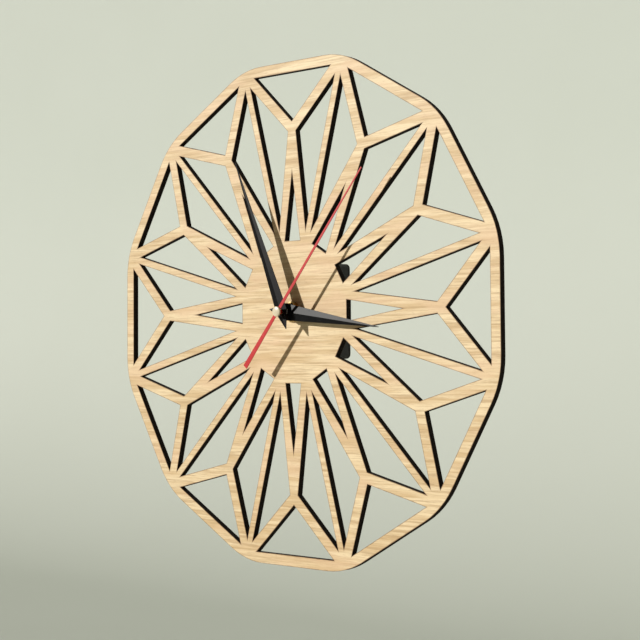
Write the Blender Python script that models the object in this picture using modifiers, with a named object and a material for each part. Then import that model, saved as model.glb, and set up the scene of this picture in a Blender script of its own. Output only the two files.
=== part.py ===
"""A wall clock with a laser cut lattice dial on a battery quartz movement.

The clock is modelled lying on its back: X to the right, Y up the dial and Z out of the wall.
One empty then stands it up, so that it faces -Y with +Z up and the wall is the plane y = 0.
The hands' arbor is the axis of the whole clock. All lengths are in metres.
"""

import math

import bmesh
import bpy
from mathutils import Matrix, Vector

MM = 0.001

# Fits that the whole clock shares
SEAT_GAP = 0.25 * MM  # between two pieces that rest on each other
RUNNING_GAP = 0.2 * MM  # round a shaft in its bearing
END_FLOAT = 0.3 * MM  # between a turning piece and what stands in front of or behind it
CUT_OVERRUN = 1.0 * MM  # how far a cutter runs past the face that it opens
JOIN_DEPTH = 0.15 * MM  # how deep one form sinks into the form that it is fused with
WELD_DISTANCE = 0.0001 * MM

# Dial: a board cut into a lattice of twelve like sectors
SECTORS = 12
DIAL_ACROSS_FLATS = 300 * MM
DIAL_THICKNESS = 4.0 * MM
DIAL_CORNER_ROUNDING = 53 * MM
RIM_WIDTH = 6.4 * MM
RIM_WINDOW_DEPTH = 29.7 * MM
RIM_POST_WIDTH = 13.9 * MM  # left between two rim windows, across the line between their sectors
STRUT_WIDTH = 6.5 * MM
SPOKE_WIDTH = 4.5 * MM
STEM_WIDTH = 6.4 * MM
LONG_WINDOW_END_RADIUS = 49.6 * MM
SLOT_TIP_RADIUS = 83.5 * MM
SLOT_BASE_RADIUS = 42.3 * MM
SLOT_BASE_WIDTH = 12.4 * MM

# Movement case
CASE_WIDTH = 56 * MM
UNIT = CASE_WIDTH / 56  # a millimetre of the standard movement: every size of the movement follows its case
CASE_CORNER_RADIUS = 3 * UNIT
CASE_WALL = 1.2 * UNIT
CASE_FRONT_WALL = 1.2 * UNIT
BUSH_DIAMETER = 7.8 * UNIT
BUSH_PROUD = 0.8 * UNIT  # thread that shows in front of the nut
POST_RADIUS = 1.1 * UNIT
BEARING_DEPTH = 1.2 * UNIT
STUD_RADIUS = 0.6 * UNIT
BRIDGE_POST_RADIUS = 1.6 * UNIT
BRIDGE_PIN_RADIUS = 0.8 * UNIT
NOTCH_WIDTH = 1.2 * UNIT

# Rear cover with its hanger
COVER_THICKNESS = 1.2 * UNIT
COVER_LIP_HEIGHT = 1.0 * UNIT
COVER_LIP_WIDTH = 0.8 * UNIT
HANGER_WIDTH = 22 * UNIT
HANGER_TOP_WIDTH = 12 * UNIT
HANGER_HEIGHT = 10 * UNIT
HANGER_ROUNDING = 2 * UNIT
HANGER_EYE_LIFT = 1.0 * UNIT  # from the case's top edge to the eye
HANGER_EYE_HEIGHT = 7.0 * UNIT
HANGER_EYE_BASE = 10 * UNIT
HANGER_EYE_TOP_WIDTH = 2.8 * UNIT
ROTOR_BOSS_RADIUS = 1.3 * UNIT

# Fixings that clamp the dial
RUBBER_THICKNESS = 0.5 * UNIT
RUBBER_DIAMETER = 18 * UNIT
WASHER_THICKNESS = 0.5 * UNIT
WASHER_DIAMETER = 12.6 * UNIT
NUT_THICKNESS = 2.4 * UNIT
NUT_ACROSS_FLATS = 10.4 * UNIT
NUT_CHAMFER = 0.4 * UNIT

# Battery, an AA cell, and its contacts
BATTERY_DIAMETER = 13.8 * UNIT
BATTERY_LENGTH = 50.5 * UNIT
BATTERY_NUB_DIAMETER = 5.5 * UNIT
BATTERY_NUB_LENGTH = 1.1 * UNIT
BATTERY_EDGE = 0.8 * UNIT
BAY_FRONT_WALL = 0.5 * UNIT
CONTACT_THICKNESS = 0.3 * UNIT
CONTACT_WIDTH = 2.4 * UNIT
CONTACT_LEAF_HEEL = 5.5 * UNIT
CONTACT_LEAF_TOE = 4.5 * UNIT
CONTACT_LEAF_CURL = 0.5 * UNIT

# Coil, its core and the stator, behind the bridge plate
COIL_CLEARANCE = 0.8 * MM
COIL_LENGTH = 20 * UNIT
COIL_UP_DIAL = 20.5 * UNIT
COIL_FLANGE_RADIUS = 3.4 * UNIT
COIL_FLANGE_THICKNESS = 0.8 * UNIT
COIL_BARREL_RADIUS = 1.9 * UNIT
WINDING_RADIUS = 3.1 * UNIT
CORE_LENGTH = 28 * UNIT
CORE_WIDTH = 2.2 * UNIT
CORE_THICKNESS = 0.8 * UNIT
STATOR_THICKNESS = 0.8 * UNIT
STATOR_BAR_WIDTH = 8.4 * UNIT
STATOR_ROUNDING = 1.0 * UNIT
MAGNET_RADIUS = 2.2 * UNIT
MAGNET_LENGTH = 0.9 * UNIT
MAGNET_AIR_GAP = 0.45 * MM

# Bridge plate and circuit board
BRIDGE_THICKNESS = 1.2 * UNIT
BRIDGE_WIDTH = 39 * UNIT
BRIDGE_HEIGHT = 24 * UNIT
BRIDGE_CENTRE_UP_DIAL = 2.5 * UNIT
BRIDGE_ROUNDING = 2.0 * UNIT
BRIDGE_POST_INSET = 2.0 * UNIT
BOARD_THICKNESS = 0.8 * UNIT
BOARD_WIDTH = 18.5 * UNIT
BOARD_HEIGHT = 24 * UNIT
BOARD_INSET = 1.6 * UNIT
BOARD_ROUNDING = 0.8 * UNIT
CHIP_RADIUS = 3.0 * UNIT
CHIP_HEIGHT = 0.9 * UNIT
CRYSTAL_DIAMETER = 1.9 * UNIT
CRYSTAL_LENGTH = 6.2 * UNIT
CHIP_PLACE_SHARES = (0.5, 0.42)  # across and up the board
CRYSTAL_PLACE_SHARES = (0.5, 0.8)
PLUS_TAIL_SHARES = (0.2, 0.06)
MINUS_TAIL_SHARES = (0.2, 0.2)

# Wheels: tooth counts, centre distances and directions from the wheel before
FIFTH_WHEEL_TEETH = 40
SECOND_WHEEL_TEETH = 48
THIRD_WHEEL_TEETH = 60
CENTRE_WHEEL_TEETH = 64
TRAIN_PINION_TEETH = 8
CANNON_TEETH = 12
MOTION_WHEEL_TEETH = 36
MOTION_PINION_TEETH = 10
HOUR_WHEEL_TEETH = 40
KNOB_TEETH = 12
ROTOR_CENTRES = 6.0 * UNIT
FIFTH_CENTRES = 9.1 * UNIT
THIRD_CENTRES = 9.0 * UNIT
MOTION_CENTRES = 7.2 * UNIT
ROTOR_DIRECTION = math.radians(0)
FIFTH_DIRECTION = math.radians(60)
THIRD_DIRECTION = math.radians(180)
MOTION_DIRECTION = math.radians(-30)
KNOB_DIRECTION = math.radians(0)
WHEEL_THICKNESS = 1.0 * UNIT
WHEEL_GAP = 0.3 * MM
PINION_OVERHANG = 0.2 * MM
ARBOR_RADIUS = 0.5 * UNIT
ADDENDUM_SHARE = 0.9  # of the module
DEDENDUM_SHARE = 1.25  # of the module
TOOTH_TIP_SHARE = 0.12  # half of a tooth's width at its tip, of the tooth pitch
TOOTH_ROOT_SHARE = 0.32  # half of a tooth's width at its root, of the tooth pitch

# Tubes that carry the hands
CANNON_RADIUS = 1.6 * UNIT
CANNON_REAR_RADIUS = 1.3 * UNIT
HOUR_TUBE_RADIUS = 2.5 * UNIT
TUBE_PROUD = 0.3 * UNIT  # in front of the hand that it carries

# Setting knob
KNOB_RADIUS = 5.0 * UNIT
KNOB_FLANGE_RADIUS = 6.0 * UNIT
KNOB_FLANGE_THICKNESS = 0.6 * UNIT
KNOB_STEM_RADIUS = 1.2 * UNIT
KNOB_RECESS = 0.3 * UNIT
KNOB_RIBS = 18
KNOB_RIB_DEPTH = 0.35 * UNIT

# Hands: each lift runs to the hand's ridge from what is behind it
HOUR_HAND_LIFT = 3.3 * MM  # from the bush's front
HOUR_HAND_LENGTH = 73 * MM
HOUR_HAND_TAIL = 12 * MM
HOUR_HAND_WIDTH = 10.2 * MM
HOUR_HAND_ANGLE = math.radians(98)  # clockwise from twelve, as for each hand
MINUTE_HAND_LIFT = 3.0 * MM  # from the hour hand
MINUTE_HAND_LENGTH = 98.8 * MM
MINUTE_HAND_TAIL = 11.1 * MM
MINUTE_HAND_WIDTH = 8.8 * MM
MINUTE_HAND_ANGLE = math.radians(337.6)
SECOND_HAND_LIFT = 2.9 * MM  # from the minute hand
SECOND_HAND_LENGTH = 103.1 * MM
SECOND_HAND_TAIL = 42.2 * MM
SECOND_HAND_WIDTH = 2.1 * MM
SECOND_HAND_TIP_WIDTH = 0.8 * MM
SECOND_HAND_TAIL_WIDTH = 3.3 * MM
SECOND_HAND_ANGLE = math.radians(39.6)
HAND_SHEET = 0.4 * MM
HAND_TIP_WIDTH = 0.4 * MM
HAND_FOLD = 0.8 * MM  # how far a hand's widest corners lie behind its ridge
HAND_COLLAR_WALL = 0.9 * MM
HAND_COLLAR_LENGTH = 1.4 * MM
SECOND_COLLAR_LENGTH = 2.0 * MM
CAP_DIAMETER = 6.0 * MM
CAP_RIM_HEIGHT = 0.6 * MM
CAP_DOME_HEIGHT = 0.6 * MM
CAP_BORE_DEPTH = 0.7 * MM

# Number of sides on round forms
FINE_SIDES = 32
SIDES = 24
SMALL_SIDES = 12
ROUNDING_STEPS = 6
SHARP_ANGLE = math.radians(35)

# Depths, measured out from the wall
cover_front = COVER_THICKNESS
coil_depth = cover_front + COIL_CLEARANCE + COIL_FLANGE_RADIUS
stator_front = coil_depth - CORE_THICKNESS / 2 - SEAT_GAP
stator_rear = stator_front - STATOR_THICKNESS
magnet_depth = (stator_front + stator_rear) / 2
bridge_rear = stator_front + SEAT_GAP
bridge_front = bridge_rear + BRIDGE_THICKNESS
board_front = bridge_rear - SEAT_GAP
board_rear = board_front - BOARD_THICKNESS
contact_rear = board_front + SEAT_GAP
contact_front = contact_rear + CONTACT_WIDTH
second_wheel_rear = bridge_front + END_FLOAT
third_wheel_rear = second_wheel_rear + WHEEL_THICKNESS + WHEEL_GAP
third_wheel_front = third_wheel_rear + WHEEL_THICKNESS
second_pinion_front = third_wheel_front + PINION_OVERHANG
rotor_pinion_front = third_wheel_front + PINION_OVERHANG
centre_wheel_rear = second_pinion_front + WHEEL_GAP
centre_wheel_front = centre_wheel_rear + WHEEL_THICKNESS
third_pinion_front = centre_wheel_front + PINION_OVERHANG
cannon_pinion_rear = centre_wheel_front + WHEEL_GAP
motion_wheel_rear = cannon_pinion_rear + PINION_OVERHANG
motion_wheel_front = motion_wheel_rear + WHEEL_THICKNESS
cannon_pinion_front = motion_wheel_front + PINION_OVERHANG
hour_wheel_rear = cannon_pinion_front + WHEEL_GAP
hour_wheel_front = hour_wheel_rear + WHEEL_THICKNESS
plate_inside = hour_wheel_front + END_FLOAT
case_rear = cover_front + SEAT_GAP
case_front = plate_inside + CASE_FRONT_WALL
rubber_rear = case_front + SEAT_GAP
dial_rear = rubber_rear + RUBBER_THICKNESS + SEAT_GAP
dial_front = dial_rear + DIAL_THICKNESS
washer_rear = dial_front + SEAT_GAP
nut_rear = washer_rear + WASHER_THICKNESS + SEAT_GAP
nut_front = nut_rear + NUT_THICKNESS
bush_front = nut_front + BUSH_PROUD
hour_hand_front = bush_front + HOUR_HAND_LIFT
minute_hand_front = hour_hand_front + MINUTE_HAND_LIFT
second_hand_front = minute_hand_front + SECOND_HAND_LIFT
cap_rear = second_hand_front + SEAT_GAP
arbor_rear = bridge_rear + END_FLOAT
fifth_post_rear = centre_wheel_front + END_FLOAT
third_post_rear = third_pinion_front + END_FLOAT
rotor_post_rear = rotor_pinion_front + END_FLOAT
knob_post_rear = cannon_pinion_front + END_FLOAT
rotor_boss_front = magnet_depth - MAGNET_LENGTH / 2 - END_FLOAT

# Radii of bores, each from the shaft that runs in it
arbor_bore = ARBOR_RADIUS + RUNNING_GAP
clutch_bore = CANNON_REAR_RADIUS + RUNNING_GAP
hour_bore = CANNON_RADIUS + RUNNING_GAP
bush_bore = HOUR_TUBE_RADIUS + RUNNING_GAP
dial_bore = BUSH_DIAMETER / 2 + SEAT_GAP

# Places across the movement
room_half = CASE_WIDTH / 2 - CASE_WALL
bay_radius = BATTERY_DIAMETER / 2 + SEAT_GAP
bay_up_dial = bay_radius - room_half
bay_depth = case_front - BAY_FRONT_WALL - bay_radius
bay_top = bay_up_dial + bay_radius
room_bottom = bay_top + CASE_WALL
battery_end = (BATTERY_LENGTH - BATTERY_NUB_LENGTH) / 2
board_left = BOARD_INSET - room_half
board_bottom = room_bottom + BOARD_INSET


def step_from(start, distance, direction):
    return start + Vector((math.cos(direction), math.sin(direction))) * distance


centre_place = Vector((0, 0))
third_place = step_from(centre_place, THIRD_CENTRES, THIRD_DIRECTION)
fifth_place = step_from(centre_place, FIFTH_CENTRES, FIFTH_DIRECTION)
rotor_place = step_from(fifth_place, ROTOR_CENTRES, ROTOR_DIRECTION)
motion_place = step_from(centre_place, MOTION_CENTRES, MOTION_DIRECTION)


def module_for(centres, teeth, partner_teeth):
    """The module that makes two wheels mesh at their centre distance."""
    return 2 * centres / (teeth + partner_teeth)


rotor_module = module_for(ROTOR_CENTRES, TRAIN_PINION_TEETH, FIFTH_WHEEL_TEETH)
fifth_module = module_for(FIFTH_CENTRES, TRAIN_PINION_TEETH, SECOND_WHEEL_TEETH)
third_module = module_for(THIRD_CENTRES, TRAIN_PINION_TEETH, THIRD_WHEEL_TEETH)
centre_module = module_for(THIRD_CENTRES, TRAIN_PINION_TEETH, CENTRE_WHEEL_TEETH)
motion_module = module_for(MOTION_CENTRES, CANNON_TEETH, MOTION_WHEEL_TEETH)
hour_module = module_for(MOTION_CENTRES, MOTION_PINION_TEETH, HOUR_WHEEL_TEETH)
knob_centres = motion_module * (KNOB_TEETH + MOTION_WHEEL_TEETH) / 2
knob_place = step_from(motion_place, knob_centres, KNOB_DIRECTION)


def clear_scene():
    for obj in list(bpy.data.objects):
        bpy.data.objects.remove(obj, do_unlink=True)


def new_collection(name):
    collection = bpy.data.collections.new(name)
    bpy.context.scene.collection.children.link(collection)
    return collection


clear_scene()
CLOCK = new_collection("wall_clock")
HELPERS = new_collection("cutters_and_joined_forms")
STAND = bpy.data.objects.new("stand", None)
STAND.rotation_euler = (math.radians(90), 0, 0)
CLOCK.objects.link(STAND)
ALONG_X = (0, math.radians(90), 0)  # lays a turned piece's axis along X, its front end to the right


def material(name, colour, roughness, metallic=0.0):
    made = bpy.data.materials.new(name)
    made.use_nodes = True
    shader = made.node_tree.nodes["Principled BSDF"]
    shader.inputs["Base Color"].default_value = (*colour, 1.0)
    shader.inputs["Roughness"].default_value = roughness
    shader.inputs["Metallic"].default_value = metallic
    return made


OAK = material("oak_board", (0.80, 0.60, 0.38), 0.55)
BLACK_LACQUER = material("black_lacquer", (0.015, 0.015, 0.016), 0.35)
RED_LACQUER = material("red_lacquer", (0.62, 0.03, 0.03), 0.35)
IVORY = material("ivory_plastic", (0.83, 0.79, 0.68), 0.4)
BRASS = material("brass", (0.78, 0.56, 0.22), 0.3, 1.0)
RUBBER = material("black_rubber", (0.03, 0.03, 0.03), 0.9)
BLACK_PLASTIC = material("black_plastic", (0.02, 0.02, 0.022), 0.5)
WHEEL_PLASTIC = material("natural_plastic", (0.80, 0.79, 0.74), 0.45)
STEEL = material("steel", (0.55, 0.55, 0.56), 0.3, 1.0)
SILICON_STEEL = material("silicon_steel", (0.36, 0.36, 0.37), 0.45, 1.0)
COPPER = material("copper_wire", (0.72, 0.30, 0.14), 0.35, 1.0)
BOARD_GREEN = material("circuit_board", (0.03, 0.17, 0.07), 0.5)
MAGNET_GREY = material("ferrite", (0.10, 0.10, 0.11), 0.6)
CELL_GREY = material("cell_jacket", (0.30, 0.31, 0.33), 0.4)


def arc(centre, radius, start, end, steps):
    """Points along an arc, both ends included."""
    return [step_from(centre, radius, start + (end - start) * step / steps) for step in range(steps + 1)]


def circle(radius, sides=SIDES):
    return [step_from(Vector((0, 0)), radius, 2 * math.pi * k / sides) for k in range(sides)]


def rounded(corners, radius, steps=ROUNDING_STEPS):
    """The outline through convex corners, counter-clockwise, with each corner rounded to one radius."""
    points = []
    for before, corner, after in zip(corners[-1:] + corners[:-1], corners, corners[1:] + corners[:1]):
        back = (before - corner).normalized()
        ahead = (after - corner).normalized()
        half = back.angle(ahead) / 2
        inward = (back + ahead).normalized()
        sweep = math.pi - 2 * half
        first = math.atan2(-inward.y, -inward.x) - sweep / 2
        points += arc(corner + inward * radius / math.sin(half), radius, first, first + sweep, steps)
    return points


def rectangle(left, right, bottom, top):
    return [Vector((left, bottom)), Vector((right, bottom)), Vector((right, top)), Vector((left, top))]


def turned_by(points, angle):
    spin = Matrix.Rotation(angle, 2)
    return [spin @ point for point in points]


def mirrored(points):
    """The outline mirrored across the X axis, still counter-clockwise."""
    return [Vector((point.x, -point.y)) for point in reversed(points)]


def meeting(point, along, other_point, other_along):
    """Where two lines in the plane meet."""
    share = (other_point - point).cross(other_along) / along.cross(other_along)
    return point + along * share


def strip_outline(path, thickness):
    """The outline of a bent strip seen edge-on, whose middle line is the open path."""
    runs = [(after - before).normalized() for before, after in zip(path, path[1:])]
    left = []
    right = []
    for point, arriving, leaving in zip(path, runs[:1] + runs, runs + runs[-1:]):
        along = (arriving + leaving).normalized()
        across = Vector((-along.y, along.x))
        reach = thickness / 2 / along.dot(arriving)
        left.append(point + across * reach)
        right.append(point - across * reach)
    return right + left[::-1]


def toothed(teeth, module, angle=0.0):
    """The outline of a toothed wheel, four points to a tooth, with one tooth centred at the angle."""
    pitch_radius = teeth * module / 2
    tip = pitch_radius + ADDENDUM_SHARE * module
    root = pitch_radius - DEDENDUM_SHARE * module
    pitch = 2 * math.pi / teeth
    corners = (
        (root, -TOOTH_ROOT_SHARE),
        (tip, -TOOTH_TIP_SHARE),
        (tip, TOOTH_TIP_SHARE),
        (root, TOOTH_ROOT_SHARE),
    )
    points = []
    for tooth in range(teeth):
        for radius, share in corners:
            points.append(step_from(Vector((0, 0)), radius, angle + (tooth + share) * pitch))
    return points


def meshed_angle(teeth, angle, direction, partner_teeth):
    """The tooth angle of a partner that meshes with a wheel, from the wheel's own tooth angle.

    The partner lies in the given direction from the wheel.
    """
    pitch = 2 * math.pi / teeth
    partner_pitch = 2 * math.pi / partner_teeth
    past_tooth_share = ((direction - angle) / pitch) % 1.0
    return direction + math.pi + (past_tooth_share + 0.5) * partner_pitch


def as_mesh(guide, name, collection):
    """Replaces a guide by a plain mesh object with the shape that its curve or modifiers give."""
    bpy.context.scene.collection.objects.link(guide)
    bpy.context.view_layer.update()
    graph = bpy.context.evaluated_depsgraph_get()
    mesh = bpy.data.meshes.new_from_object(guide.evaluated_get(graph))
    mesh.transform(guide.matrix_world)
    mesh.name = name
    bpy.data.objects.remove(guide)
    shape = bmesh.new()
    shape.from_mesh(mesh)
    bmesh.ops.remove_doubles(shape, verts=shape.verts, dist=WELD_DISTANCE)
    bmesh.ops.recalc_face_normals(shape, faces=shape.faces)
    shape.to_mesh(mesh)
    shape.free()
    obj = bpy.data.objects.new(name, mesh)
    collection.objects.link(obj)
    obj.parent = STAND
    if collection is HELPERS:
        obj.hide_render = True
        obj.display_type = "WIRE"
    return obj


def plate(name, outlines, rear, front, collection=CLOCK):
    """A flat piece between two depths. The first outline is its edge and the others are holes."""
    curve = bpy.data.curves.new(name, "CURVE")
    curve.dimensions = "2D"
    curve.fill_mode = "BOTH"
    curve.extrude = (front - rear) / 2
    for outline in outlines:
        spline = curve.splines.new("POLY")
        spline.points.add(len(outline) - 1)
        spline.use_cyclic_u = True
        for point, spot in zip(spline.points, outline):
            point.co = (spot.x, spot.y, 0, 1)
    guide = bpy.data.objects.new(name + "_outline", curve)
    guide.location.z = (front + rear) / 2
    return as_mesh(guide, name, collection)


def turned(name, profile, sides=SIDES, collection=CLOCK):
    """A turned piece. The profile's (radius, depth) points run from the front down the outside.

    A profile that starts and ends on the axis makes a solid. Any other closes on itself, as a ring.
    """
    mesh = bpy.data.meshes.new(name)
    points = [(radius, 0, depth) for radius, depth in profile]
    edges = [(k, k + 1) for k in range(len(points) - 1)]
    if profile[0][0] or profile[-1][0]:
        edges.append((len(points) - 1, 0))
    mesh.from_pydata(points, edges, [])
    guide = bpy.data.objects.new(name + "_profile", mesh)
    screw = guide.modifiers.new("turn", "SCREW")
    screw.axis = "Z"
    screw.angle = math.radians(360)
    screw.steps = sides
    screw.render_steps = sides
    screw.use_merge_vertices = True
    screw.merge_threshold = WELD_DISTANCE
    return as_mesh(guide, name, collection)


def rod(name, radius, rear, front, sides=SMALL_SIDES, collection=HELPERS):
    return turned(name, [(0, front), (radius, front), (radius, rear), (0, rear)], sides, collection)


def ring(name, outer, inner, rear, front, sides=SIDES, collection=CLOCK):
    return turned(name, [(inner, front), (outer, front), (outer, rear), (inner, rear)], sides, collection)


def boolean(obj, others, operation):
    for other in others:
        change = obj.modifiers.new(operation.lower() + "_" + other.name, "BOOLEAN")
        change.operation = operation
        change.object = other


def cut(obj, *cutters):
    boolean(obj, cutters, "DIFFERENCE")


def join(obj, *others):
    boolean(obj, others, "UNION")


def place(obj, where, angle=0.0):
    """Puts a piece's own axis at a place on the dial, turned clockwise by an angle as a hand is read."""
    obj.location.x = where.x
    obj.location.y = where.y
    obj.rotation_euler.z = -angle
    return obj


def finish(obj, look, smooth=False):
    """Gives a piece its material, and a round piece its smooth shading."""
    obj.data.materials.clear()
    obj.data.materials.append(look)
    if smooth:
        obj.data.shade_smooth()
        obj.data.set_sharp_from_angle(angle=SHARP_ANGLE)
    return obj


def sector_windows():
    """The four windows of the sector whose middle line lies along +X."""
    half_sector = math.pi / SECTORS
    spoke = Vector((math.cos(half_sector), math.sin(half_sector)))
    rim_inside = DIAL_ACROSS_FLATS / 2 - RIM_WIDTH
    half_base = (rim_inside * spoke.y - RIM_POST_WIDTH / 2) / spoke.x
    tip = Vector((rim_inside - RIM_WINDOW_DEPTH, 0))
    rim_corner = Vector((rim_inside, half_base))
    rim_window = [tip, Vector((rim_inside, -half_base)), rim_corner]
    strut = (rim_corner - tip).normalized()
    strut_inside = tip + Vector((-strut.y, strut.x)) * STRUT_WIDTH
    spoke_side = Vector((spoke.y, -spoke.x)) * SPOKE_WIDTH / 2
    stem_side = Vector((0, STEM_WIDTH / 2))
    long_window = [
        meeting(strut_inside, strut, stem_side, Vector((1, 0))),
        meeting(strut_inside, strut, spoke_side, spoke),
        spoke_side + spoke * LONG_WINDOW_END_RADIUS,
    ]
    slot = [
        Vector((SLOT_TIP_RADIUS, 0)),
        Vector((SLOT_BASE_RADIUS, SLOT_BASE_WIDTH / 2)),
        Vector((SLOT_BASE_RADIUS, -SLOT_BASE_WIDTH / 2)),
    ]
    return [rim_window, long_window, mirrored(long_window), slot]


def make_dial():
    half_sector = math.pi / SECTORS
    corner_radius = DIAL_ACROSS_FLATS / 2 / math.cos(half_sector)
    corners = [step_from(centre_place, corner_radius, half_sector * (2 * k + 1)) for k in range(SECTORS)]
    outlines = [rounded(corners, DIAL_CORNER_ROUNDING)]
    for sector in range(SECTORS):
        outlines += [turned_by(window, 2 * half_sector * sector) for window in sector_windows()]
    outlines.append(circle(dial_bore))
    finish(plate("dial", outlines, dial_rear, dial_front), OAK)


def case_outline():
    half = CASE_WIDTH / 2
    return rounded(rectangle(-half, half, -half, half), CASE_CORNER_RADIUS)


def battery_trough():
    """Cutter for the battery bay: straight walls at the rear and half a round at the front."""
    rear = case_rear - CUT_OVERRUN
    centre = Vector((bay_up_dial, bay_depth))
    crown = arc(centre, bay_radius, 0, math.pi, SIDES // 2)
    outline = crown + [Vector((bay_up_dial - bay_radius, rear)), Vector((bay_up_dial + bay_radius, rear))]
    trough = plate("battery_trough", [outline], -room_half, room_half, HELPERS)
    trough.rotation_euler = (math.radians(90), 0, math.radians(90))
    return trough


def contact_notches():
    """Cutters at both ends of the wall between the battery bay and the wheels."""
    notches = []
    for side, left in (("left", -room_half), ("right", room_half - NOTCH_WIDTH)):
        outline = rectangle(left, left + NOTCH_WIDTH, bay_top - JOIN_DEPTH, room_bottom + JOIN_DEPTH)
        rear = case_rear - CUT_OVERRUN
        notches.append(plate(side + "_notch", [outline], rear, contact_front + SEAT_GAP, HELPERS))
    return notches


def bridge_post_places():
    across = BRIDGE_WIDTH / 2 - BRIDGE_POST_INSET
    up = BRIDGE_HEIGHT / 2 - BRIDGE_POST_INSET
    return [Vector((x, BRIDGE_CENTRE_UP_DIAL + y)) for x in (-across, across) for y in (-up, up)]


def make_case():
    """The movement's case: a box open to the rear, with the threaded bush that carries the clock."""
    case = plate("movement_case", [case_outline()], case_rear, case_front)
    room = rectangle(-room_half, room_half, room_bottom, room_half)
    cut(case, plate("case_room", [room], case_rear - CUT_OVERRUN, plate_inside, HELPERS))
    cut(case, battery_trough(), *contact_notches())
    root = plate_inside + JOIN_DEPTH
    join(case, rod("bush", BUSH_DIAMETER / 2, root, bush_front, SIDES))
    cut(case, rod("bush_bore", bush_bore, plate_inside - CUT_OVERRUN, bush_front + CUT_OVERRUN, SIDES))
    posts = (
        ("fifth_post", fifth_place, fifth_post_rear),
        ("third_post", third_place, third_post_rear),
        ("rotor_post", rotor_place, rotor_post_rear),
        ("knob_post", knob_place, knob_post_rear),
    )
    for name, where, rear in posts:
        post = turned(name, [
            (0, root),
            (POST_RADIUS, root),
            (POST_RADIUS, rear),
            (arbor_bore, rear),
            (arbor_bore, rear + BEARING_DEPTH),
            (0, rear + BEARING_DEPTH),
        ], SMALL_SIDES, HELPERS)
        join(case, place(post, where))
    join(case, place(rod("motion_stud", STUD_RADIUS, motion_wheel_rear, root), motion_place))
    shoulder = bridge_front + SEAT_GAP
    for k, where in enumerate(bridge_post_places()):
        post = turned(f"bridge_post_{k}", [
            (0, root),
            (BRIDGE_POST_RADIUS, root),
            (BRIDGE_POST_RADIUS, shoulder),
            (BRIDGE_PIN_RADIUS, shoulder),
            (BRIDGE_PIN_RADIUS, bridge_rear),
            (0, bridge_rear),
        ], SMALL_SIDES, HELPERS)
        join(case, place(post, where))
    finish(case, BLACK_PLASTIC)


def cover_outline():
    """The case's outline with the hanger's tab on its top edge."""
    half = CASE_WIDTH / 2
    box = case_outline()
    tab = [
        Vector((-HANGER_WIDTH / 2, half)),
        Vector((HANGER_WIDTH / 2, half)),
        Vector((HANGER_TOP_WIDTH / 2, half + HANGER_HEIGHT)),
        Vector((-HANGER_TOP_WIDTH / 2, half + HANGER_HEIGHT)),
    ]
    tab_top = rounded(tab, HANGER_ROUNDING)[2 * (ROUNDING_STEPS + 1):]
    right_side_points = 3 * (ROUNDING_STEPS + 1)
    return box[:right_side_points] + [tab[1]] + tab_top + [tab[0]] + box[right_side_points:]


def hanger_eye():
    low = CASE_WIDTH / 2 + HANGER_EYE_LIFT
    high = low + HANGER_EYE_HEIGHT
    return [
        Vector((-HANGER_EYE_BASE / 2, low)),
        Vector((HANGER_EYE_BASE / 2, low)),
        Vector((HANGER_EYE_TOP_WIDTH / 2, high)),
        Vector((-HANGER_EYE_TOP_WIDTH / 2, high)),
    ]


def cover_lip():
    """The rim that fits inside the wheels' room."""
    side = room_half - RUNNING_GAP
    low = room_bottom + RUNNING_GAP
    inner_side = side - COVER_LIP_WIDTH
    outlines = [
        rectangle(-side, side, low, side),
        rectangle(-inner_side, inner_side, low + COVER_LIP_WIDTH, inner_side),
    ]
    return plate("cover_lip", outlines, cover_front - JOIN_DEPTH, cover_front + COVER_LIP_HEIGHT, HELPERS)


def make_rear_cover():
    """The cover, flat against the wall, with openings for the battery and for the setting knob."""
    battery_window = rectangle(-room_half, room_half, -room_half, bay_top)
    cover = plate("rear_cover", [cover_outline(), hanger_eye(), battery_window], 0, cover_front)
    bearing_end = rotor_boss_front - BEARING_DEPTH
    boss = turned("rotor_boss", [
        (0, bearing_end),
        (arbor_bore, bearing_end),
        (arbor_bore, rotor_boss_front),
        (ROTOR_BOSS_RADIUS, rotor_boss_front),
        (ROTOR_BOSS_RADIUS, cover_front - JOIN_DEPTH),
        (0, cover_front - JOIN_DEPTH),
    ], SMALL_SIDES, HELPERS)
    knob_hole = rod("knob_hole", KNOB_RADIUS + RUNNING_GAP, -CUT_OVERRUN, cover_front + CUT_OVERRUN, SIDES)
    join(cover, cover_lip(), place(boss, rotor_place))
    cut(cover, place(knob_hole, knob_place))
    finish(cover, BLACK_PLASTIC)


def make_bridge():
    """The middle plate, with a bearing for each arbor and a hole for each bridge pin."""
    across = BRIDGE_WIDTH / 2
    low = BRIDGE_CENTRE_UP_DIAL - BRIDGE_HEIGHT / 2
    outline = rounded(rectangle(-across, across, low, low + BRIDGE_HEIGHT), BRIDGE_ROUNDING)
    bearings = [(where, arbor_bore) for where in (centre_place, third_place, fifth_place, rotor_place)]
    bearings.append((knob_place, KNOB_STEM_RADIUS + RUNNING_GAP))
    bearings += [(where, BRIDGE_PIN_RADIUS + RUNNING_GAP) for where in bridge_post_places()]
    holes = [[where + point for point in circle(radius, SMALL_SIDES)] for where, radius in bearings]
    finish(plate("gear_bridge", [outline] + holes, bridge_rear, bridge_front), WHEEL_PLASTIC)


def on_board(shares):
    across_share, up_share = shares
    return Vector((board_left + BOARD_WIDTH * across_share, board_bottom + BOARD_HEIGHT * up_share))


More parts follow.
